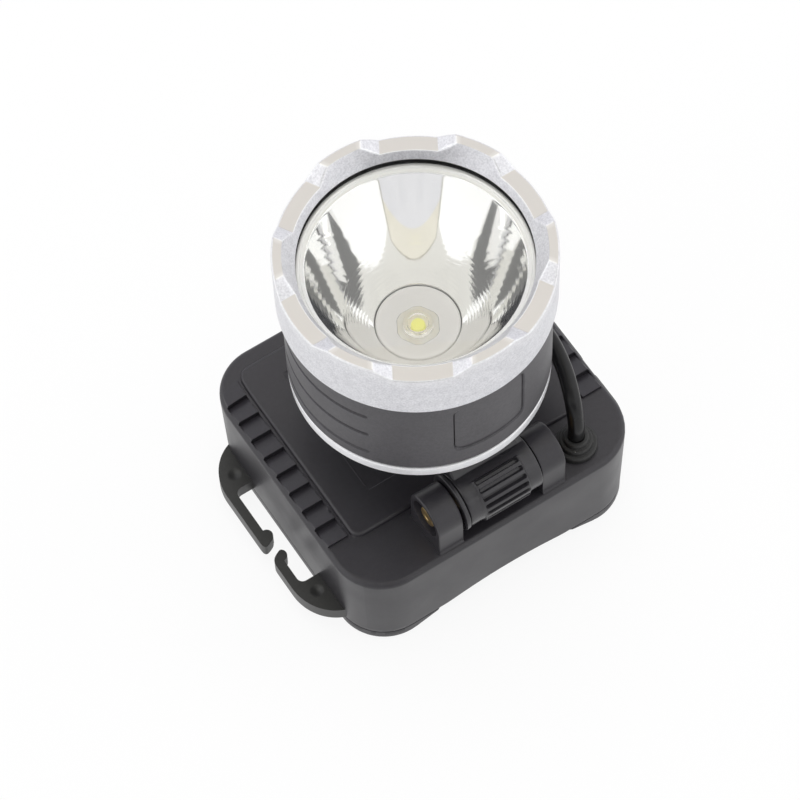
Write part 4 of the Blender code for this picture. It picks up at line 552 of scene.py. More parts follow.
def addCaseShell():
    """One closed skin: a grid over the top whose corners are pressed into arcs, rings down the wall, and rings back up inside."""
    xs, ys = caseLines()
    x, y = np.meshgrid(xs, ys)
    placeX, placeY, edge = pressCorners(x, y, case["halfWidth"], case["halfDepth"], case["corner"], case["rim"])
    top = np.stack([placeX, placeY, caseTopHeight(x, y, edge)], axis=-1)
    rows, cols = x.shape
    start, outward = edgeLoop(top, case["halfWidth"] - case["corner"], case["halfDepth"] - case["corner"])
    fillet, low = case["fillet"], case["bottom"]
    insets = np.array([case["rim"], 0.2, 0.12, 0.055, 0.015])
    heights = case["shoulder"] - fillet + np.sqrt(fillet**2 - (fillet - insets) ** 2)
    portRows = case["portHeight"] + np.array([case["portTop"] + 0.06, case["portTop"], -case["portHalf"], -case["portHalf"] - 0.06])
    wallRows = np.concatenate([[25.9, 24.2, 21.9, 20.0], portRows[:2], [17.4, 16.0], np.arange(15.0, 7.6, -0.34), [6.6], portRows[2:], [4.6, low + 0.25]])
    onWall = np.concatenate([np.zeros(len(insets)), np.ones(len(wallRows)), np.zeros(4)])
    slanted = case["draft"] * (case["draftTop"] - wallRows) / (case["draftTop"] - low)
    insets = np.concatenate([insets, slanted, [case["draft"] + 0.07, case["draft"] + 0.25, case["wall"], case["wall"]]])
    heights = np.concatenate([heights, wallRows, [low + 0.06, low, low, case["ceiling"]]])
    ring = start[None, :, :2] + outward[None] * (case["rim"] - insets)[:, None, None]
    ring = np.concatenate([ring, np.broadcast_to(heights[:, None, None], ring.shape[:2] + (1,))], axis=-1)
    # the charge port: a shallow square recess in the rear wall, and a round well behind the socket's nose
    onRear = (ring[..., 1] > case["halfDepth"] - 0.55) & (onWall[:, None] > 0)
    across, over = ring[..., 0], ring[..., 2] - case["portHeight"]
    recess = (np.abs(across) <= case["portHalf"]) & (over <= case["portTop"] + 1e-6) & (over >= -case["portHalf"] - 1e-6)
    well = np.hypot(across, over) < 3.25
    ring[..., 1] -= np.where(onRear & recess, case["portDepth"] + 0.35, 0) + np.where(onRear & well, 1.5 * case["wall"], 0)
    ring[0] = start
    # the foot follows the arch that fits the forehead
    ring[..., 2] = np.maximum(ring[..., 2], archHeight(ring[..., 0]) + (ring[..., 2] - low) * 0.3)
    rings, count = ring.shape[:2]
    faces = [gridFaces(rings, count, False, True)[:, ::-1], np.arange((rings - 1) * count, rings * count)[None, :]]
    addPiece("caseShell", [(top.reshape(-1, 3), [gridFaces(rows, cols, False, False)]), (ring.reshape(-1, 3), faces)],
             "battery_case", satinBlack, hides=["case_top"], sharp=40)
    print("case shell ready")


def addBackPlate():
    """Underside height = the highest of the fillet, the arch and the screw seats; its flange narrows to nothing where the arch passes it."""
    plate = dict(inset=0.5, top=3.2, spigotTop=5.4, spigotInset=2.05, fillet=1.2, rim=0.3, screwX=30.57, screwY=27.87, seat=2.7, seatTop=2.0)
    halfWidth, halfDepth = case["halfWidth"] - plate["inset"], case["halfDepth"] - plate["inset"]
    corner, fillet, rim = case["corner"] - plate["inset"], plate["fillet"], plate["rim"]

    def lines(half, screw):
        right = np.concatenate([np.arange(0, half - 1.5, 1.4), screw + np.arange(-2.94, 2.95, 0.14), half - np.array([0.3, 0.4, 0.55, 0.75, 1.0, 1.3])])
        right = np.unique(np.round(right, 3))
        right = right[np.concatenate([[True], np.diff(right) > 0.04])]
        return np.concatenate([-right[:0:-1], right])

    x, y = np.meshgrid(lines(halfWidth, plate["screwX"]), lines(halfDepth, plate["screwY"]))
    placeX, placeY, edge = pressCorners(x, y, halfWidth, halfDepth, corner, rim)
    pull = smoothStep(archHeight(placeX), 3.06, 3.18)
    height = np.maximum(fillet - np.sqrt(fillet**2 - np.clip(fillet - edge, 0, fillet) ** 2), archHeight(placeX))
    inSeat = np.hypot(np.abs(placeX) - plate["screwX"], np.abs(placeY) - plate["screwY"]) < plate["seat"]
    height = np.where(inSeat, plate["seatTop"], height)
    under = np.stack([placeX, placeY, height], axis=-1)
    rows, cols = x.shape
    start, outward = edgeLoop(under, halfWidth - corner, halfDepth - corner)
    insets = np.array([rim, 0.16, 0.06, 0.0, 0.0, 0.04, 0.14, plate["spigotInset"], plate["spigotInset"]])
    heights = np.concatenate([fillet - np.sqrt(fillet**2 - (fillet - insets[:3]) ** 2), [fillet, plate["top"] - 0.14, plate["top"] - 0.04, plate["top"], plate["top"], plate["spigotTop"]]])
    away = insets[:, None] + (plate["spigotInset"] - insets[:, None]) * smoothStep(archHeight(start[:, 0]), 3.06, 3.18)[None, :] * (np.abs(outward[:, 1]) > 0.5)
    ring = start[None, :, :2] + outward[None] * (rim - away)[..., None]
    ring = np.concatenate([ring, np.maximum(heights[:, None], archHeight(ring[..., 0]))[..., None]], axis=-1)
    under[..., 1] *= 1 - pull * (plate["spigotInset"] - rim) / (halfDepth - rim)
    rings, count = ring.shape[:2]
    faces = [gridFaces(rings, count, False, True), np.arange((rings - 1) * count, rings * count)[None, ::-1]]
    addPiece("backPlate", [(under.reshape(-1, 3), [gridFaces(rows, cols, False, False)[:, ::-1]]), (ring.reshape(-1, 3), faces)],
             "battery_case", satinBlack, hides=["back_plate"], sharp=40)
    print("back plate ready")


def addEars():
    """Each ring is hinge axis + reach(a) (cos a, sin a), where reach is the D outline or a circle, set along x from face to face."""
    ear = dict(y=-27.3, z=35.4, radius=5.8, foot=26.4, dish=4.45, dishDepth=2.4, bore=2.2, columns=216)
    a = np.linspace(-np.pi / 2, 1.5 * np.pi, ear["columns"], endpoint=False)
    drop = ear["z"] - ear["foot"]
    dOutline = np.where(np.sin(a) < 0, np.minimum(ear["radius"] / np.maximum(np.abs(np.cos(a)), 1e-6), drop / np.maximum(-np.sin(a), 1e-6)), ear["radius"])
    hexOutline = 3.7 / np.cos(np.mod(a, np.pi / 3) - np.pi / 6)
    for name, side, inner, outer, pocket, floor in (("nutEar", -1, 10.5, 16.8, hexOutline, 4.0), ("boltEar", 1, 10.3, 16.45, np.full_like(a, 3.8), 3.65)):
        circle, dip = np.ones_like(a), ear["dishDepth"]
        rows = [(ear["bore"] * circle, outer - floor), (ear["bore"] * circle, inner), (dOutline - 0.3, inner), (dOutline - 0.08, inner + 0.07), (dOutline, inner + 0.3)]
        rows += [(dOutline, outer - 0.45), (dOutline - 0.06, outer - 0.22), (dOutline - 0.2, outer - 0.06), (dOutline - 0.42, outer)]
        rows += [((ear["dish"] + 0.12) * circle, outer), ((ear["dish"] + 0.02) * circle, outer - 0.06), (ear["dish"] * circle, outer - 0.2), (ear["dish"] * circle, outer - dip)]
        rows += [(pocket + 0.08, outer - dip), (pocket, outer - dip - 0.08), (pocket, outer - floor)]
        reach = np.stack([r for r, _ in rows])
        along = np.array([w for _, w in rows])[:, None] * side + 0 * reach
        grid = np.stack([along, ear["y"] + reach * np.cos(a), ear["z"] + reach * np.sin(a)], axis=-1)
        # the foot spreads a little where it meets the case
        low = np.clip((ear["foot"] + 1.7 - grid[..., 2]) / 0.7, 0, 1) ** 2
        grid[..., 1] += low * 0.45 * np.sign(grid[..., 1] - ear["y"]) * (np.abs(grid[..., 1] - ear["y"]) > 4.0)
        addPiece(name, [surface(grid)], "battery_case", satinBlack, sharp=38)
    print("hinge ears ready")


def addStrapLoops():
    """Half a loop is an outline: the shoulder's arc, the slanted gap, a round bulb, and the slot's rounded end."""
    loop = dict(wall=36.2, slotOuter=41.5, bar=2.2, shoulder=10.6, slotEnd=14.0, offset=0.6, gapMiddle=-2.7, gap=3.0, slant=1.5, bulb=1.5, stretch=1.1, low=3.8, high=7.5)
    outer = loop["slotOuter"] + loop["bar"]
    patches = []
    for sideY in (-1, 1):
        slotEnd = loop["offset"] + sideY * loop["slotEnd"]
        gapInner = loop["gapMiddle"] + sideY * loop["gap"] / 2 + loop["slant"] / 2
        bend = (outer - loop["shoulder"], slotEnd)
        wallAngle = np.degrees(np.arccos((loop["wall"] - bend[0]) / loop["shoulder"]))
        tip = softCorners([(outer, slotEnd * 0.5 + gapInner * 0.5), (outer, gapInner - loop["slant"]), (loop["slotOuter"] - 0.6 * loop["bulb"], gapInner), (loop["slotOuter"] - loop["bulb"], gapInner + sideY * 1.5)],
                          [0, 2.0, 0.8, 0], 4)
        bulb = arcPoints((loop["slotOuter"], gapInner + sideY * loop["bulb"]), loop["bulb"], 180 + sideY * 40, 180 - sideY * 90, 14)
        roundEnd = arcPoints((loop["slotOuter"] - loop["bulb"], slotEnd - sideY * loop["bulb"]), loop["bulb"], 0, sideY * 90, 10)
        shoulder = arcPoints(bend, loop["shoulder"], sideY * wallAngle, 0, 22)
        shoulder[:, 1] += (loop["stretch"] - 1) * (shoulder[:, 1] - slotEnd)
        outline = np.concatenate([shoulder, tip[5:15], bulb, roundEnd, [(loop["wall"], slotEnd)]])
        for sideX in (-1, 1):
            patches.append(slab(outline * (sideX, 1), loop["low"], loop["high"]))
    for k, patch in enumerate(patches):
        name = "strapLoop%s%s" % ("Left" if k % 2 == 0 else "Right", "Front" if k < 2 else "Rear")
        addPiece(name, [patch], "battery_case", loopBlack, sharp=30, edge=0.62, edgeSteps=4)
    print("strap loops ready")


def addGrommet():
    """Three stacked rings turned round the lead, each with a rounded shoulder."""
    grommet = dict(x=23.3, y=-27.0, low=27.0, seat=27.6, step=1.35, radii=(4.85, 3.8, 2.9), bore=1.86)
    profile = [(grommet["bore"], grommet["low"]), (grommet["radii"][0], grommet["low"])]
    soft = [0, 0.1]
    for k, radius in enumerate(grommet["radii"]):
        top = grommet["seat"] + (k + 1) * grommet["step"]
        profile += [(radius, top)]
        soft += [0.62]
        if k < 2:
            profile += [(grommet["radii"][k + 1], top)]
            soft += [0.16]
    profile += [(grommet["bore"], grommet["seat"] + 3 * grommet["step"])]
    soft += [0.2]
    addPiece("leadGrommet", [surface(turnRound(softCorners(profile, soft, 5), 96, "z", (grommet["x"], grommet["y"], 0)))],
             "battery_case", rubberBlack, hides=["base_grommet"])
    print("grommet ready")


addCaseShell()
addBackPlate()
addEars()
addStrapLoops()
addGrommet()


# ---- hinge ----

hinge = dict(y=-27.3, z=35.4)


def addKnuckle():
    """Radius over (x, a): a plain cylinder with rounded ends, and a raised band whose ribs are parted by round-ended grooves."""
    knuckle = dict(left=-8.8, right=10.0, radius=6.6, edge=0.5, ribRadius=7.2, ribs=22, bandWidth=11.6, root=6.15, bore=2.2, ribStart=1.78, ribEnd=5.2)
    middle, half = (knuckle["left"] + knuckle["right"]) / 2, knuckle["bandWidth"] / 2
    left, right, edge = knuckle["left"], knuckle["right"], knuckle["edge"]
    round_ = edge * (1 - np.cos(np.linspace(0, np.pi / 2, 6)))
    xs = [left + round_, np.linspace(left + edge, middle - half - 0.2, 4)[1:], middle - half + np.array([-0.1, -0.04, 0.03, 0.1, 0.2]), np.linspace(middle - half + 0.35, middle + half - 0.35, 26),
          middle + half - np.array([0.2, 0.1, 0.03, -0.04, -0.1]), np.linspace(middle + half + 0.2, right - edge, 4)[:-1], (right - round_)[::-1]]
    xs = np.concatenate(xs)
    across = tau * 7.0 / knuckle["ribs"]
    pattern = np.array([0, 0.1, 0.2, 0.27, 0.31, 0.35, 0.40, 0.45, 0.5, 0.55, 0.60, 0.65, 0.69, 0.73, 0.8, 0.9])
    a = ((np.arange(knuckle["ribs"])[:, None] + pattern[None, :]) * tau / knuckle["ribs"]).ravel()
    x, ang = np.meshgrid(xs, a, indexing="ij")
    inEnd = np.minimum(x - left, right - x)
    body = knuckle["radius"] - edge + np.sqrt(np.maximum(edge**2 - np.clip(edge - inEnd, 0, edge) ** 2, 0))
    t = np.abs(np.mod(ang * knuckle["ribs"] / tau, 1) - 0.5) * across
    away = np.abs(x - middle)
    beyond = np.maximum(away - (half - 0.75), 0)
    groove = 1 - smoothStep(np.hypot(t, beyond), 0.36, 0.60)
    band = smoothStep(half - away, -0.35, 0.30) * smoothStep(ang, knuckle["ribStart"] - 0.07, knuckle["ribStart"]) * smoothStep(-ang, -knuckle["ribEnd"] - 0.07, -knuckle["ribEnd"])
    groove = groove * (band > 0.02)
    lift = (knuckle["ribRadius"] - knuckle["radius"]) * band * (1 - groove) + (knuckle["root"] - knuckle["radius"]) * band * groove
    radius = body + lift - 0.45 * groove * (1 - band) * smoothStep(half + 0.3 - away, 0, 0.3)
    shell = np.stack([x, hinge["y"] + radius * np.cos(ang), hinge["z"] + radius * np.sin(ang)], axis=-1)
    bore = turnRound([(knuckle["bore"], right), (knuckle["bore"], left)], len(a), "x", (0, hinge["y"], hinge["z"]))
    bore[..., 1] = hinge["y"] + knuckle["bore"] * np.cos(a)
    bore[..., 2] = hinge["z"] + knuckle["bore"] * np.sin(a)
    addPiece("hingeKnuckle", [surface(np.concatenate([shell, bore]))], "lamp_head", glossBlack, hides=["lamp_bracket"], sharp=42)


def addBracketArm():
    """The arm is its side outline carried across; the boss is turned round the lamp's axis."""
    arm = dict(left=-8.5, right=9.6, low=9.0, top=13.5)
    outline = [(5.28, 0.66), (5.28 + arm["low"], arm["low"]), (30.0, arm["low"]), (30.0, arm["top"]), (0.66 + 0.5 * arm["top"], arm["top"]), (1.0, 6.45)]
    outline = softCorners(outline, [0, 2.0, 0, 0, 1.6, 0], 6) + (hinge["y"], hinge["z"])
    addPiece("bracketArm", [slab(outline, arm["left"], arm["right"], "x")], "lamp_head", glossBlack, sharp=30, edge=0.5)
    boss = dict(radius=15.0, low=42.9, top=48.9, bore=2.05)
    profile = [(boss["bore"], boss["low"]), (boss["radius"], boss["low"]), (boss["radius"], boss["top"]), (boss["bore"], boss["top"])]
    addPiece("bracketBoss", [surface(turnRound(softCorners(profile, [0.1, 0.9, 0.2, 0.1], 5), 144))], "lamp_head", glossBlack)


def addHingeHardware():
    axis = (0, hinge["y"], hinge["z"])
    washer = [(2.2, -10.0), (6.9, -10.0), (6.9, -9.0), (2.2, -9.0)]
    addPiece("kneeWasher", [surface(turnRound(softCorners(washer, [0.1, 0.25, 0.3, 0.1], 4), 120, "x", axis))], "lamp_head", glossBlack, hides=["friction_washer"])
    # the nut: a hexagon ring whose outer corners are turned down, round a plain bore
    a = np.linspace(0, tau, 144, endpoint=False)
    hexReach = 3.5 / np.cos(np.mod(a, np.pi / 3) - np.pi / 6)
    turned = np.minimum(hexReach, 3.72)
    rows = [(2.2, -15.0), (2.35, -15.0), (np.minimum(turned, 3.55), -15.0), (hexReach, -14.75), (hexReach, -13.35), (turned, -13.1), (2.2, -13.1)]
    reach = np.stack([r + 0 * a for r, _ in rows])
    along = np.array([w for _, w in rows])[:, None] + 0 * reach
    nut = np.stack([along, hinge["y"] + reach * np.cos(a), hinge["z"] + reach * np.sin(a)], axis=-1)
    addPiece("hingeNut", [surface(nut)], "battery_case", darkSteel, hides=["hinge_nut"])
    bolt = [(0, -16.05), (0.9, -16.1), (1.1, -16.25), (2.2, -16.25), (2.45, -16.05), (2.45, -15.5), (2.0, -15.3), (2.0, 13.1), (3.6, 13.1), (3.6, 14.9), (3.0, 15.5), (1.6, 15.5), (1.5, 14.1), (0, 14.1)]
    addPiece("hingeBolt", [surface(turnRound(softCorners(bolt, [0, 0.05, 0.1, 0.12, 0.12, 0.1, 0.05, 0.1, 0.1, 0.3, 0.3, 0.05, 0.05, 0], 4), 96, "x", axis))], "battery_case", brass, hides=["hinge_bolt"])
    print("hinge ready")


addKnuckle()
addBracketArm()
addHingeHardware()


# ---- lamp head ----

def addBaseRing():
    """A turned profile: ring, rear groove, spigot and the column behind the LED."""
    profile = [(0, 49.2), (20.4, 49.2), (20.4, 50.4), (23.4, 50.4), (23.4, 49.2), (28.8, 49.2), (28.8, 52.2), (26.1, 52.2), (26.1, 54.5), (10.9, 54.5), (10.9, 62.4), (0, 62.4)]
    soft = [0, 0.2, 0.1, 0.1, 0.2, 0.55, 0.5, 0.1, 0.1, 0.1, 0.1, 0]
    addPiece("baseRing", [surface(turnRound(softCorners(profile, soft, 5), 288))], "lamp_head", ringSilver, hides=["heat_sink"])


barrel = dict(
    radius=28.9, bore=26.3, neck=27.8, low=53.05, shoulder=78.8, top=86.45, middle=65.95,
    grooves=3, groovePitch=7.65, grooveHeight=1.3, grooveDepth=0.6, grooveHalf=36.0, grooveMiddle=64.35,
    panelHalf=17.7, panelHeight=17.4, panelMiddle=67.15, panelCorner=2.0, panelDepth=0.4, panelLine=0.35, seatRadius=6.3,
)


def addBarrel():
    """Radius over (z, a) = barrel radius - grooves - panel, cut back to a flat round seat where the button stands."""
    b = barrel
    grooveAt = b["grooveMiddle"] + (np.arange(b["grooves"]) - 1) * b["groovePitch"]
    half = b["grooveHeight"] / 2
    near = np.array([-1.25, -1.0, -0.9, -0.75, -0.45, 0, 0.45, 0.75, 0.9, 1.0, 1.25]) * half
    panelEnds = np.array([b["panelMiddle"] - b["panelHeight"] / 2, b["panelMiddle"] + b["panelHeight"] / 2])
    zs = np.concatenate([(grooveAt[:, None] + near[None, :]).ravel(), (panelEnds[:, None] + np.array([-0.05, 0.0, 0.05, 0.14, 0.24, 0.3, 0.7, 1.2, -0.14, -0.24, -0.3, -0.7, -1.2])[None, :]).ravel(),
                         np.arange(b["low"] + 0.4, b["shoulder"] - 0.2, 0.75)])
    zs = np.unique(np.round(zs[(zs > b["low"] + 0.35) & (zs < b["shoulder"] - 0.25)], 3))
    zs = zs[np.concatenate([[True], np.diff(zs) > 0.03])]
    plain = np.radians(np.arange(0, 360, 0.8))
    ends = np.radians(np.array([-b["grooveHalf"], b["grooveHalf"]]))[:, None] + np.radians(np.arange(-1.6, 1.61, 0.16))[None, :]
    sides = np.radians(-90 + np.array([-b["panelHalf"], b["panelHalf"]]))[:, None] + np.radians(np.array([-0.48, -0.35, -0.2, -0.1, -0.05, 0, 0.05, 0.1, 0.2, 0.35, 0.48, 0.6, -0.6]))[None, :]
    a = np.concatenate([plain, ends.ravel(), ends.ravel() + np.pi, sides.ravel()])
    a = np.unique(np.round(np.mod(a, tau), 5))
    a = a[np.concatenate([[True], np.diff(a) > 0.0006])]
    z, ang = np.meshgrid(zs, a, indexing="ij")
    along = (np.abs(np.mod(ang + np.pi / 2, np.pi) - np.pi / 2)) * b["radius"]
    reach = np.radians(b["grooveHalf"]) * b["radius"] - half
    depth = 0 * z
    for middle in grooveAt:
        away = np.hypot(z - middle, np.maximum(along - reach, 0))
        depth += b["grooveDepth"] * (1 - smoothStep(away, 0.55 * half, half))
    fromPanel = np.abs(np.mod(ang + np.pi / 2 + np.pi, tau) - np.pi) * b["radius"]
    inPanel = roundedBoxDistance(fromPanel, z, np.radians(b["panelHalf"]) * b["radius"], panelEnds[0], panelEnds[1], b["panelCorner"])
    depth += b["panelDepth"] * smoothStep(inPanel, -0.05, 0.05) + b["panelLine"] * np.clip(1 - np.abs(inPanel) / 0.24, 0, 1)
    radius = b["radius"] - depth
    # the button's seat: inside its circle the surface is the plane y = seat
    seat = np.sqrt(b["radius"] ** 2 - b["seatRadius"] ** 2) - 0.2
    x = radius * np.cos(ang)
    y = radius * np.sin(ang)
    inSeat = (np.hypot(x, z - b["middle"]) < b["seatRadius"]) & (y > 0)
    y = np.where(inSeat, seat, y)
    skin = np.stack([x, y, z], axis=-1)
    edges = [(b["bore"], b["low"] + 0.5), (b["bore"], b["low"]), (b["radius"] - 0.35, b["low"]), (b["radius"] - 0.1, b["low"] + 0.08), (b["radius"], b["low"] + 0.3)]
    closing = [(b["radius"], b["shoulder"] - 0.2), (b["radius"] - 0.06, b["shoulder"] - 0.06), (b["radius"] - 0.2, b["shoulder"]), (b["neck"], b["shoulder"]), (b["neck"], b["top"]), (b["bore"], b["top"])]
    ringOf = lambda pairs: np.stack([np.stack([r * np.cos(a), r * np.sin(a), h + 0 * a], axis=-1) for r, h in pairs])
    addPiece("lampBarrel", [surface(np.concatenate([ringOf(edges), skin, ringOf(closing)]))], "lamp_head", barrelBlack, hides=["barrel"], sharp=38)
    seal = [(26.3, 52.7), (27.47, 52.7), (27.47, 53.5), (26.3, 53.5)]
    addPiece("barrelSeal", [surface(turnRound(softCorners(seal, 0.2, 3), 180))], "lamp_head", rubberBlack, hides=["barrel_seal"])
    print("barrel ready")


def addBezel():
    """Columns follow each notch's straight sides, so across a notch the point at radius r stands at angle asin(t / r);
    height = the lowest of the rim, the mouth's slope and the notch: floor + (|t| - half floor) * depth / slope."""
    z = dict(bore=28.0, radius=30.0, edge=0.5, mouth=27.8, lip=25.1, low=79.4, lipLow=90.5, lipHigh=90.72, top=94.8,
             notches=6, depth=2.4, halfFloor=6.05, slope=4.1)
    close = np.array([-0.22, -0.1, 0, 0.1, 0.22])
    foot, brim = z["halfFloor"], z["halfFloor"] + z["slope"]
    t = np.concatenate([np.linspace(0, foot - 0.45, 9), foot + close, np.linspace(foot + 0.6, brim - 0.6, 6), brim + close])
    t = np.concatenate([-t[:0:-1], t])
    land = np.linspace(0, 1, 10)[1:]
    radii = np.concatenate([[z["lip"], z["lip"] + 0.03, z["lip"] + 0.12], np.linspace(z["lip"] + 0.4, z["mouth"] - 0.25, 15), z["mouth"] + np.array([-0.08, 0.0, 0.08, 0.25]),
                            np.linspace(z["mouth"] + 0.5, z["radius"] - z["edge"] - 0.1, 4)])

    def columnsAt(radius):
        radius = np.asarray(radius, float)[:, None]
        inNotch = np.arcsin(np.clip(t[None, :] / radius, -1, 1))
        last = inNotch[:, -1:]
        onLand = last + (np.pi / 3 - 2 * last) * land[None, :-1]
        one = np.concatenate([inNotch, onLand], axis=1)
        return np.concatenate([one + k * np.pi / 3 for k in range(z["notches"])], axis=1)

    def softMin(p, q, width):
        # the smaller of the two, rounded over a short width where they cross
        h = np.clip(0.5 + 0.5 * (q - p) / width, 0, 1)
        return q * (1 - h) + p * h - width * h * (1 - h)

    def cutHeight(radius, ang):
        local = np.mod(ang + np.pi / 6, np.pi / 3) - np.pi / 6
        side = np.abs(radius * np.sin(local))
        floor = z["top"] - z["depth"]
        rising = floor + (side - z["halfFloor"]) * z["depth"] / z["slope"]
        return -softMin(-np.full_like(rising, floor), -rising, 0.06)

    ang = columnsAt(radii)
    r = radii[:, None] + 0 * ang
    slope = z["lipHigh"] + (r - z["lip"]) * (z["top"] - z["lipHigh"]) / (z["mouth"] - z["lip"])
    cut = cutHeight(r, ang)
    shape = softMin(softMin(slope, cut, 0.10), np.full_like(r, z["top"]), 0.10)
    edgeR = np.array([z["radius"] - z["edge"], z["radius"] - 0.25, z["radius"] - 0.09, z["radius"]])
    edgeAng = columnsAt(edgeR)
    topAt = softMin(cutHeight(edgeR[:, None] + 0 * edgeAng, edgeAng), np.full_like(edgeAng, z["top"]), 0.10)
    edgeZ = topAt - np.array([0, 0.05, 0.2, 0.45])[:, None]
    wallAng = np.repeat(edgeAng[-1:], 5, axis=0)
    share = np.array([0.75, 0.5, 0.25, 0.03, 0.0])[:, None]
    wallZ = z["low"] + (edgeZ[-1:] - z["low"]) * share
    wallR = np.array([z["radius"]] * 4 + [z["radius"] - 0.25])[:, None] + 0 * wallAng
    inside = np.array([(z["bore"] + 0.1, z["low"]), (z["bore"], z["low"] + 0.15), (z["bore"], z["lipLow"]), (z["lip"] + 0.1, z["lipLow"]), (z["lip"], z["lipLow"] + 0.1)])
    insideAng = np.repeat(edgeAng[-1:], len(inside), axis=0)
    allR = np.concatenate([r, edgeR[:, None] + 0 * edgeAng, wallR, inside[:, :1] + 0 * insideAng])
    allAng = np.concatenate([ang, edgeAng, wallAng, insideAng])
    allZ = np.concatenate([shape, edgeZ, wallZ, inside[:, 1:] + 0 * insideAng])
    points = np.stack([allR * np.cos(allAng), allR * np.sin(allAng), allZ], axis=-1)
    # milled: the rim's land and the notch floors, but not their slopes
    onCone = np.zeros(allR.shape, bool)
    onCone[:len(radii)] = slope <= cut + 0.1
    flat = (np.abs(allZ - z["top"]) < 0.06) | ((np.abs(allZ - (z["top"] - z["depth"])) < 0.06) & ~onCone)
    rows = np.arange(len(allR))[:, None]

    def nearTo(p, q):
        return np.exp(-(((p - q) / 0.13) ** 2))

    # painted highlight: the creases where a notch meets the mouth's slope or the rim's top, and the rows of the outer
    # edge, get a mark that whitens the colour
    below = smoothStep(z["top"] - shape, 0.02, 0.2)
    paintedHighlightMask = np.maximum(nearTo(slope, cut) * below, nearTo(cut, np.full_like(cut, z["top"])) * (slope > z["top"] - 0.3))
    paintedHighlightValues = np.zeros_like(allR)
    paintedHighlightValues[:len(radii)] = 0.6 * paintedHighlightMask
    paintedHighlightValues[len(radii):len(radii) + 4] = np.array([0.0, 0.15, 0.4, 0.2])[:, None]
    milled = np.where(flat & (rows < len(radii) + 1) & (allR > z["lip"] + 0.3), 1.0, 0.0)
    addPiece("notchedBezel", [surface(points)], "lamp_head", blastedSilver, hides=["bezel"], sharp=28, marks=dict(milled=milled, paintedHighlightMask=paintedHighlightValues))
    print("bezel ready")


def addOptics():
    """Turned pieces: gasket, lens, and a reflector z = origin + r^2 / (4 focus) with fine rings near its throat."""
    gasket = [(25.2, 87.85), (27.6, 87.85), (27.6, 90.45), (25.2, 90.45), (25.2, 90.05), (26.3, 90.05), (26.3, 88.25), (25.2, 88.25)]
    addPiece("lensGasket", [surface(turnRound(softCorners(gasket, 0.12, 3), 288))], "lamp_head", rubberBlack, hides=["lens_gasket"])
    glass = [(0, 88.45), (25.4, 88.45), (26.1, 88.45), (26.1, 89.85), (25.4, 89.85), (0, 89.85)]
    addPiece("frontLens", [surface(turnRound(softCorners(glass, [0, 0, 0.15, 0.15, 0, 0], 3), 256))], "lamp_head", lensClear, hides=["lens"])
    bowl = dict(focus=5.0, origin=60.27, throat=9.45, mouth=23.4, wall=1.1, ringStart=10.7, rings=9, ringPitch=0.62, ringDepth=0.011, ringHalf=0.2)
    ringAt = bowl["ringStart"] + np.arange(bowl["rings"]) * bowl["ringPitch"]
    near = np.linspace(-0.2, 0.2, 9)
    r = np.concatenate([np.linspace(bowl["throat"], bowl["mouth"] - 0.12, 96), (ringAt[:, None] + near).ravel()])
    r = np.unique(np.round(r, 3))
    dip = smoothStep(1 - np.abs(r[:, None] - ringAt) / bowl["ringHalf"], 0, 1).max(-1) * bowl["ringDepth"]
    height = bowl["origin"] + r**2 / (4 * bowl["focus"]) - dip * r / (2 * bowl["focus"])
    mirror = np.stack([r, height], axis=-1)
    inner = [(bowl["throat"], 63.97)]
    rim = [(bowl["mouth"], 87.65 - 0.06), (bowl["mouth"] + 0.12, 87.65)]
    flange = [(27.6, 87.65), (27.6, 86.65), (bowl["mouth"] + bowl["wall"], 86.65)]
    back = [(21.0, 81.0), (16.0, 71.9), (bowl["throat"] + bowl["wall"], 63.97)]
    addPiece("mirrorBowl", [surface(turnRound(np.concatenate([inner, mirror, rim, flange, back]), 288))], "lamp_head", chrome, hides=["reflector"], sharp=60)
    # the pale lacquered rim that lies on the flange
    lay = [(bowl["mouth"] + 0.1, 87.662), (25.16, 87.662), (25.16, 88.36), (24.95, 88.42), (24.5, 88.40), (24.3, 88.22), (24.2, 87.86), (23.95, 87.76), (bowl["mouth"] + 0.12, 87.72)]
    addPiece("bowlRim", [surface(turnRound(softCorners(lay, 0.05, 2), 288))], "lamp_head", rimPale)
    print("optics ready")


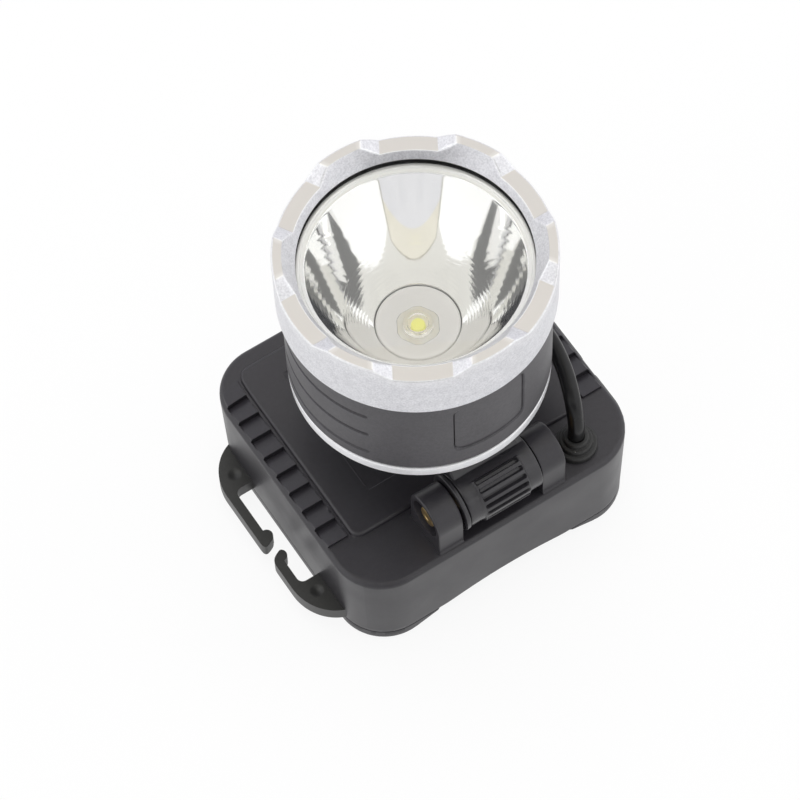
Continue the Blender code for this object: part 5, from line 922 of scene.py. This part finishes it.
def addLed():
    """The disc's height over (r, a) is dished inside a rounded rim, with a hexagonal window; the LED stands in it."""
    disc = dict(low=63.87, top=64.67, radius=9.2, dish=0.72)
    at = (-0.2, -0.32, 0)  # the LED sits a little off the centre
    a = np.linspace(0, tau, 192, endpoint=False)
    window = np.minimum(4.54 / np.cos(np.mod(a, np.pi / 3) - np.pi / 6), 4.80)
    rows = [(window, disc["low"]), (disc["radius"] + 0 * a, disc["low"]), (disc["radius"] + 0 * a, disc["top"] - 0.42), (disc["radius"] - 0.07 + 0 * a, disc["top"] - 0.2),
            (disc["radius"] - 0.22 + 0 * a, disc["top"] - 0.06), (disc["radius"] - 0.45 + 0 * a, disc["top"]), (disc["radius"] - 0.95 + 0 * a, disc["top"] - 0.02),
            (disc["radius"] - 1.7 + 0 * a, disc["top"] - 0.16), (disc["radius"] - 2.6 + 0 * a, disc["top"] - 0.34), (5.6 + 0 * a, disc["top"] - disc["dish"]), (window, disc["top"] - disc["dish"])]
    reach = np.stack([r for r, _ in rows])
    height = np.array([h for _, h in rows])[:, None] + 0 * reach
    inWindow = np.zeros_like(reach)
    inWindow[[0, -1]] = 1
    addPiece("ledDisc", [surface(np.stack([reach * np.cos(a) + at[0] * inWindow, reach * np.sin(a) + at[1] * inWindow, height], axis=-1))], "lamp_head", palePlastic, hides=["led_spacer"])
    # the base: a hexagon with softened corners, bulging a little where the ceramic meets the dome
    hexReach = np.minimum(4.46 / np.cos(np.mod(a, np.pi / 3) - np.pi / 6), 4.72)
    rows = [(0, 63.87), (hexReach, 63.87), (hexReach, 63.94), (hexReach - 0.2, 64.02), (3.6, 64.05), (3.4, 64.12), (2.7, 64.13), (0, 64.13)]
    reach = np.stack([r + 0 * a for r, _ in rows])
    height = np.array([h for _, h in rows])[:, None] + 0 * reach
    addPiece("ledPackage", [surface(np.stack([reach * np.cos(a) + at[0], reach * np.sin(a) + at[1], height], axis=-1))], "lamp_head", ceramic, hides=["led_base"])
    chip = [(0, 64.18), (1.05, 64.18), (1.05, 64.53), (0, 64.53)]
    addPiece("phosphorChip", [surface(turnRound(softCorners(chip, [0, 0.05, 0.12, 0], 3), 64, "z", at))], "lamp_head", phosphorYellow, hides=["led_phosphor"])
    cap = arcPoints((0, 64.45), 3.3, 0, 90, 28)
    dome = np.concatenate([[(1.7, 64.18), (3.3, 64.18)], cap, [(0, 64.73), (1.7, 64.73)]])
    addPiece("ledDome", [surface(turnRound(dome, 96, "z", at))], "lamp_head", domeClear, hides=["led_dome"])
    print("LED ready")


def addButton():
    """Turned round the button's own axis: a ring with rounded edges and a cap with a shallow dish and three fine steps."""
    at = (0, 0, 65.95)
    ring = [(4.2, 28.2), (6.1, 28.2), (6.1, 29.4), (4.2, 29.4)]
    addPiece("buttonRing", [surface(turnRound(softCorners(ring, [0.05, 0.1, 0.5, 0.25], 4), 120, "y", at))], "lamp_head", steel, hides=["button_ring"])
    cap = [(0, 24.9), (4.8, 24.9), (4.8, 25.6), (3.9, 25.6), (3.9, 29.9), (3.3, 29.9), (3.1, 29.75), (2.6, 29.75), (2.4, 29.62), (1.9, 29.62), (1.6, 29.5), (0, 29.5)]
    addPiece("buttonCap", [surface(turnRound(softCorners(cap, [0, 0.1, 0.1, 0.05, 0.5, 0.1, 0.1, 0.1, 0.1, 0.1, 0.1, 0], 4), 120, "y", at))], "switch_button", rubberBlack, hides=["push_button"])
    print("button ready")


addBaseRing()
addBarrel()
addBezel()
addOptics()
addLed()
addButton()


# ---- finishes of the pieces that keep their CAD shape ----

def dressCadNodes():
    # each remaining node's slots get the finish of its kind
    kinds = {
        "case_screw": steel, "battery_cell": cellWrap, "contact_strip": coppery, "cell_cradle": trayPlastic,
        "control_board": boardGreen, "charge_socket": trayPlastic, "port_flap": rubberBlack, "bracket_screw": steel, "head_gland": rubberBlack,
        "switch_body": trayPlastic, "driver_board": boardGreen, "led_board": boardPale,
    }
    for name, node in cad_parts.items():
        finish = next((f for start, f in kinds.items() if name.startswith(start)), None)
        if node.hide_render or finish is None:
            continue
        for slot in node.material_slots:
            slot.link = "OBJECT"
            slot.material = finish
    print("CAD pieces dressed")


dressCadNodes()


# ---- studio ----

def addPanel(name, size, place, aim, power, colour=(1, 1, 1)):
    light = bpy.data.lights.new(name, "AREA")
    light.shape, light.size, light.size_y, light.energy, light.color = "RECTANGLE", size[0], size[1], power, colour
    lamp = bpy.data.objects.new(name, light)
    scene.collection.objects.link(lamp)
    lamp.location = place
    lamp.rotation_euler = (Vector(aim) - Vector(place)).to_track_quat("-Z", "Y").to_euler()
    return lamp


def addSheet(name, ahead, away, corners, colour, level):
    # an upright sheet that only reflections see: each corner is an azimuth and an elevation, seen from the lamp
    az, el = np.radians(np.array(corners, float)).T
    turn = az - np.radians(ahead)
    reach = away / np.cos(turn)
    points = np.stack([reach * np.sin(az), reach * np.cos(az), reach * np.tan(el) + 80 * mm], axis=-1)
    mesh = bpy.data.meshes.new(name)
    mesh.from_pydata(points.tolist(), [], [tuple(range(len(points)))])
    made, tree, shader = newFinish(name)
    shader.inputs["Base Color"].default_value = (0, 0, 0, 1)
    shader.inputs["Emission Color"].default_value = (*colour, 1)
    shader.inputs["Emission Strength"].default_value = level
    mesh.materials.append(made)
    sheet = bpy.data.objects.new(name, mesh)
    scene.collection.objects.link(sheet)
    sheet.visible_camera = sheet.visible_diffuse = sheet.visible_shadow = False


def addStudio():
    studio = dict(floor=0.82, cameraWhite=0.90, fill=0.64, horizon=1.25, overhead=0.90)
    mesh = bpy.data.meshes.new("paperFloor")
    mesh.from_pydata([(-1.6, -1.6, 0), (1.6, -1.6, 0), (1.6, 1.6, 0), (-1.6, 1.6, 0)], [], [(0, 1, 2, 3)])
    made, tree, shader = newFinish("paperFloor")
    shader.inputs["Base Color"].default_value = (studio["floor"], studio["floor"], studio["floor"], 1)
    shader.inputs["Roughness"].default_value = 0.9
    shader.inputs["Specular IOR Level"].default_value = 0.1
    glow = addNode(tree, "Emission", Color=(1, 1, 1), Strength=1.0)

    def seenDirectly(tree):
        # 1 for what the camera, a mirror or glass sees, 0 for the light that falls on things
        path = addNode(tree, "LightPath")
        rays = path.outputs["Is Camera Ray"]
        for kind in ("Is Glossy Ray", "Is Transmission Ray"):
            rays = addNode(tree, "Math", dict(operation="MAXIMUM"), in_0=rays, in_1=path.outputs[kind]).outputs[0]
        return path.outputs["Is Camera Ray"], rays

    seen = addNode(tree, "Math", dict(operation="MULTIPLY"), in_0=seenDirectly(tree)[1], in_1=studio["cameraWhite"]).outputs[0]
    mix = addNode(tree, "MixShader", in_0=seen)
    tree.links.new(shader.outputs[0], mix.inputs[1])
    tree.links.new(glow.outputs[0], mix.inputs[2])
    tree.links.new(mix.outputs[0], tree.nodes["Material Output"].inputs["Surface"])
    mesh.materials.append(made)
    floor = bpy.data.objects.new("paperFloor", mesh)
    scene.collection.objects.link(floor)
    # the room: an even fill for what it lights; mirrors see it white at the horizon and creamier overhead
    world = bpy.data.worlds.new("paleRoom")
    world.use_nodes = True
    tree = world.node_tree
    sky = tree.nodes["Background"]
    camera, rays = seenDirectly(tree)
    up = addNode(tree, "SeparateXYZ", Vector=addNode(tree, "TexCoord").outputs["Generated"]).outputs["Z"]
    high = addNode(tree, "MapRange", Value=up, From_Min=0.3, From_Max=0.95).outputs["Result"]
    room = addNode(tree, "Mix", dict(data_type="RGBA"), in_0=high)
    room.inputs[6].default_value = (studio["horizon"], studio["horizon"], studio["horizon"], 1)
    room.inputs[7].default_value = (studio["overhead"], studio["overhead"] * 0.985, studio["overhead"] * 0.93, 1)
    lit = addNode(tree, "Mix", dict(data_type="RGBA"), in_0=rays)
    lit.inputs[6].default_value = (studio["fill"], studio["fill"], studio["fill"], 1)
    tree.links.new(room.outputs[2], lit.inputs[7])
    whole = addNode(tree, "Mix", dict(data_type="RGBA"), in_0=camera)
    tree.links.new(lit.outputs[2], whole.inputs[6])
    whole.inputs[7].default_value = (1, 1, 1, 1)
    tree.links.new(whole.outputs[2], sky.inputs["Color"])
    sky.inputs["Strength"].default_value = 1.0
    scene.world = world
    # what stands round the lamp, as its mirror shows it
    addSheet("backSheet", 28, 0.80, [(-22, 0.5), (79, 0.5), (79, 49.2), (28, 61), (-22, 48.2)], (0.86, 0.86, 0.90), 1.0)
    addSheet("backSheetTop", 28, 0.81, [(-22, 47.8), (28, 60.6), (79, 48.8), (79, 62.5), (28, 72), (-22, 62.5)], (0.90, 0.86, 0.74), 1.0)
    addSheet("backSheetSeam", 28, 0.82, [(-23.2, 0.5), (80.2, 0.5), (80.2, 62.5), (28, 72.6), (-23.2, 62.5)], (0.30, 0.26, 0.18), 1.0)
    addSheet("leftSheet", -67, 0.90, [(-110, 0.5), (-24, 0.5), (-24, 57), (-67, 66), (-110, 57)], (1, 1, 1), 1.3)
    addSheet("rightSheet", 123, 0.90, [(81, 0.5), (165, 0.5), (165, 57), (123, 66), (81, 57)], (1, 1, 1), 1.3)
    addSheet("cameraShade", -152, 0.70, [(-111, 40), (-111, 55), (-130, 58), (-150, 59), (-172, 58), (-190, 54), (-193, 34), (-181, 32), (-164, 45), (-150, 45), (-131, 36), (-118, 30)], (0.15, 0.15, 0.145), 1.0)
    addSheet("frontShade", -150, 0.71, [(-186, 3), (-114, 3), (-114, 21), (-150, 25), (-186, 21)], (0.16, 0.16, 0.16), 1.0)
    for name, middle in (("frontStrip", -150), ("leftStrip", -75), ("rightStrip", 135)):
        addSheet(name, middle, 0.69, [(middle - 36, 25), (middle + 36, 25), (middle + 36, 29), (middle, 31), (middle - 36, 29)], (1, 1, 1), 2.6)
    lights = [addPanel("overheadPanel", (0.9, 0.9), (0.15, 0.25, 1.25), (0, 0, 0.03), 9.0),
              addPanel("leftPanel", (0.5, 0.8), (-0.95, -0.1, 0.55), (0, 0, 0.05), 1.6),
              addPanel("rightPanel", (0.5, 0.8), (0.9, -0.35, 0.5), (0, 0, 0.05), 1.6)]
    for light in lights:
        light.visible_glossy = light.visible_transmission = False
    scene.view_settings.view_transform = "Standard"
    print("studio ready")


addStudio()
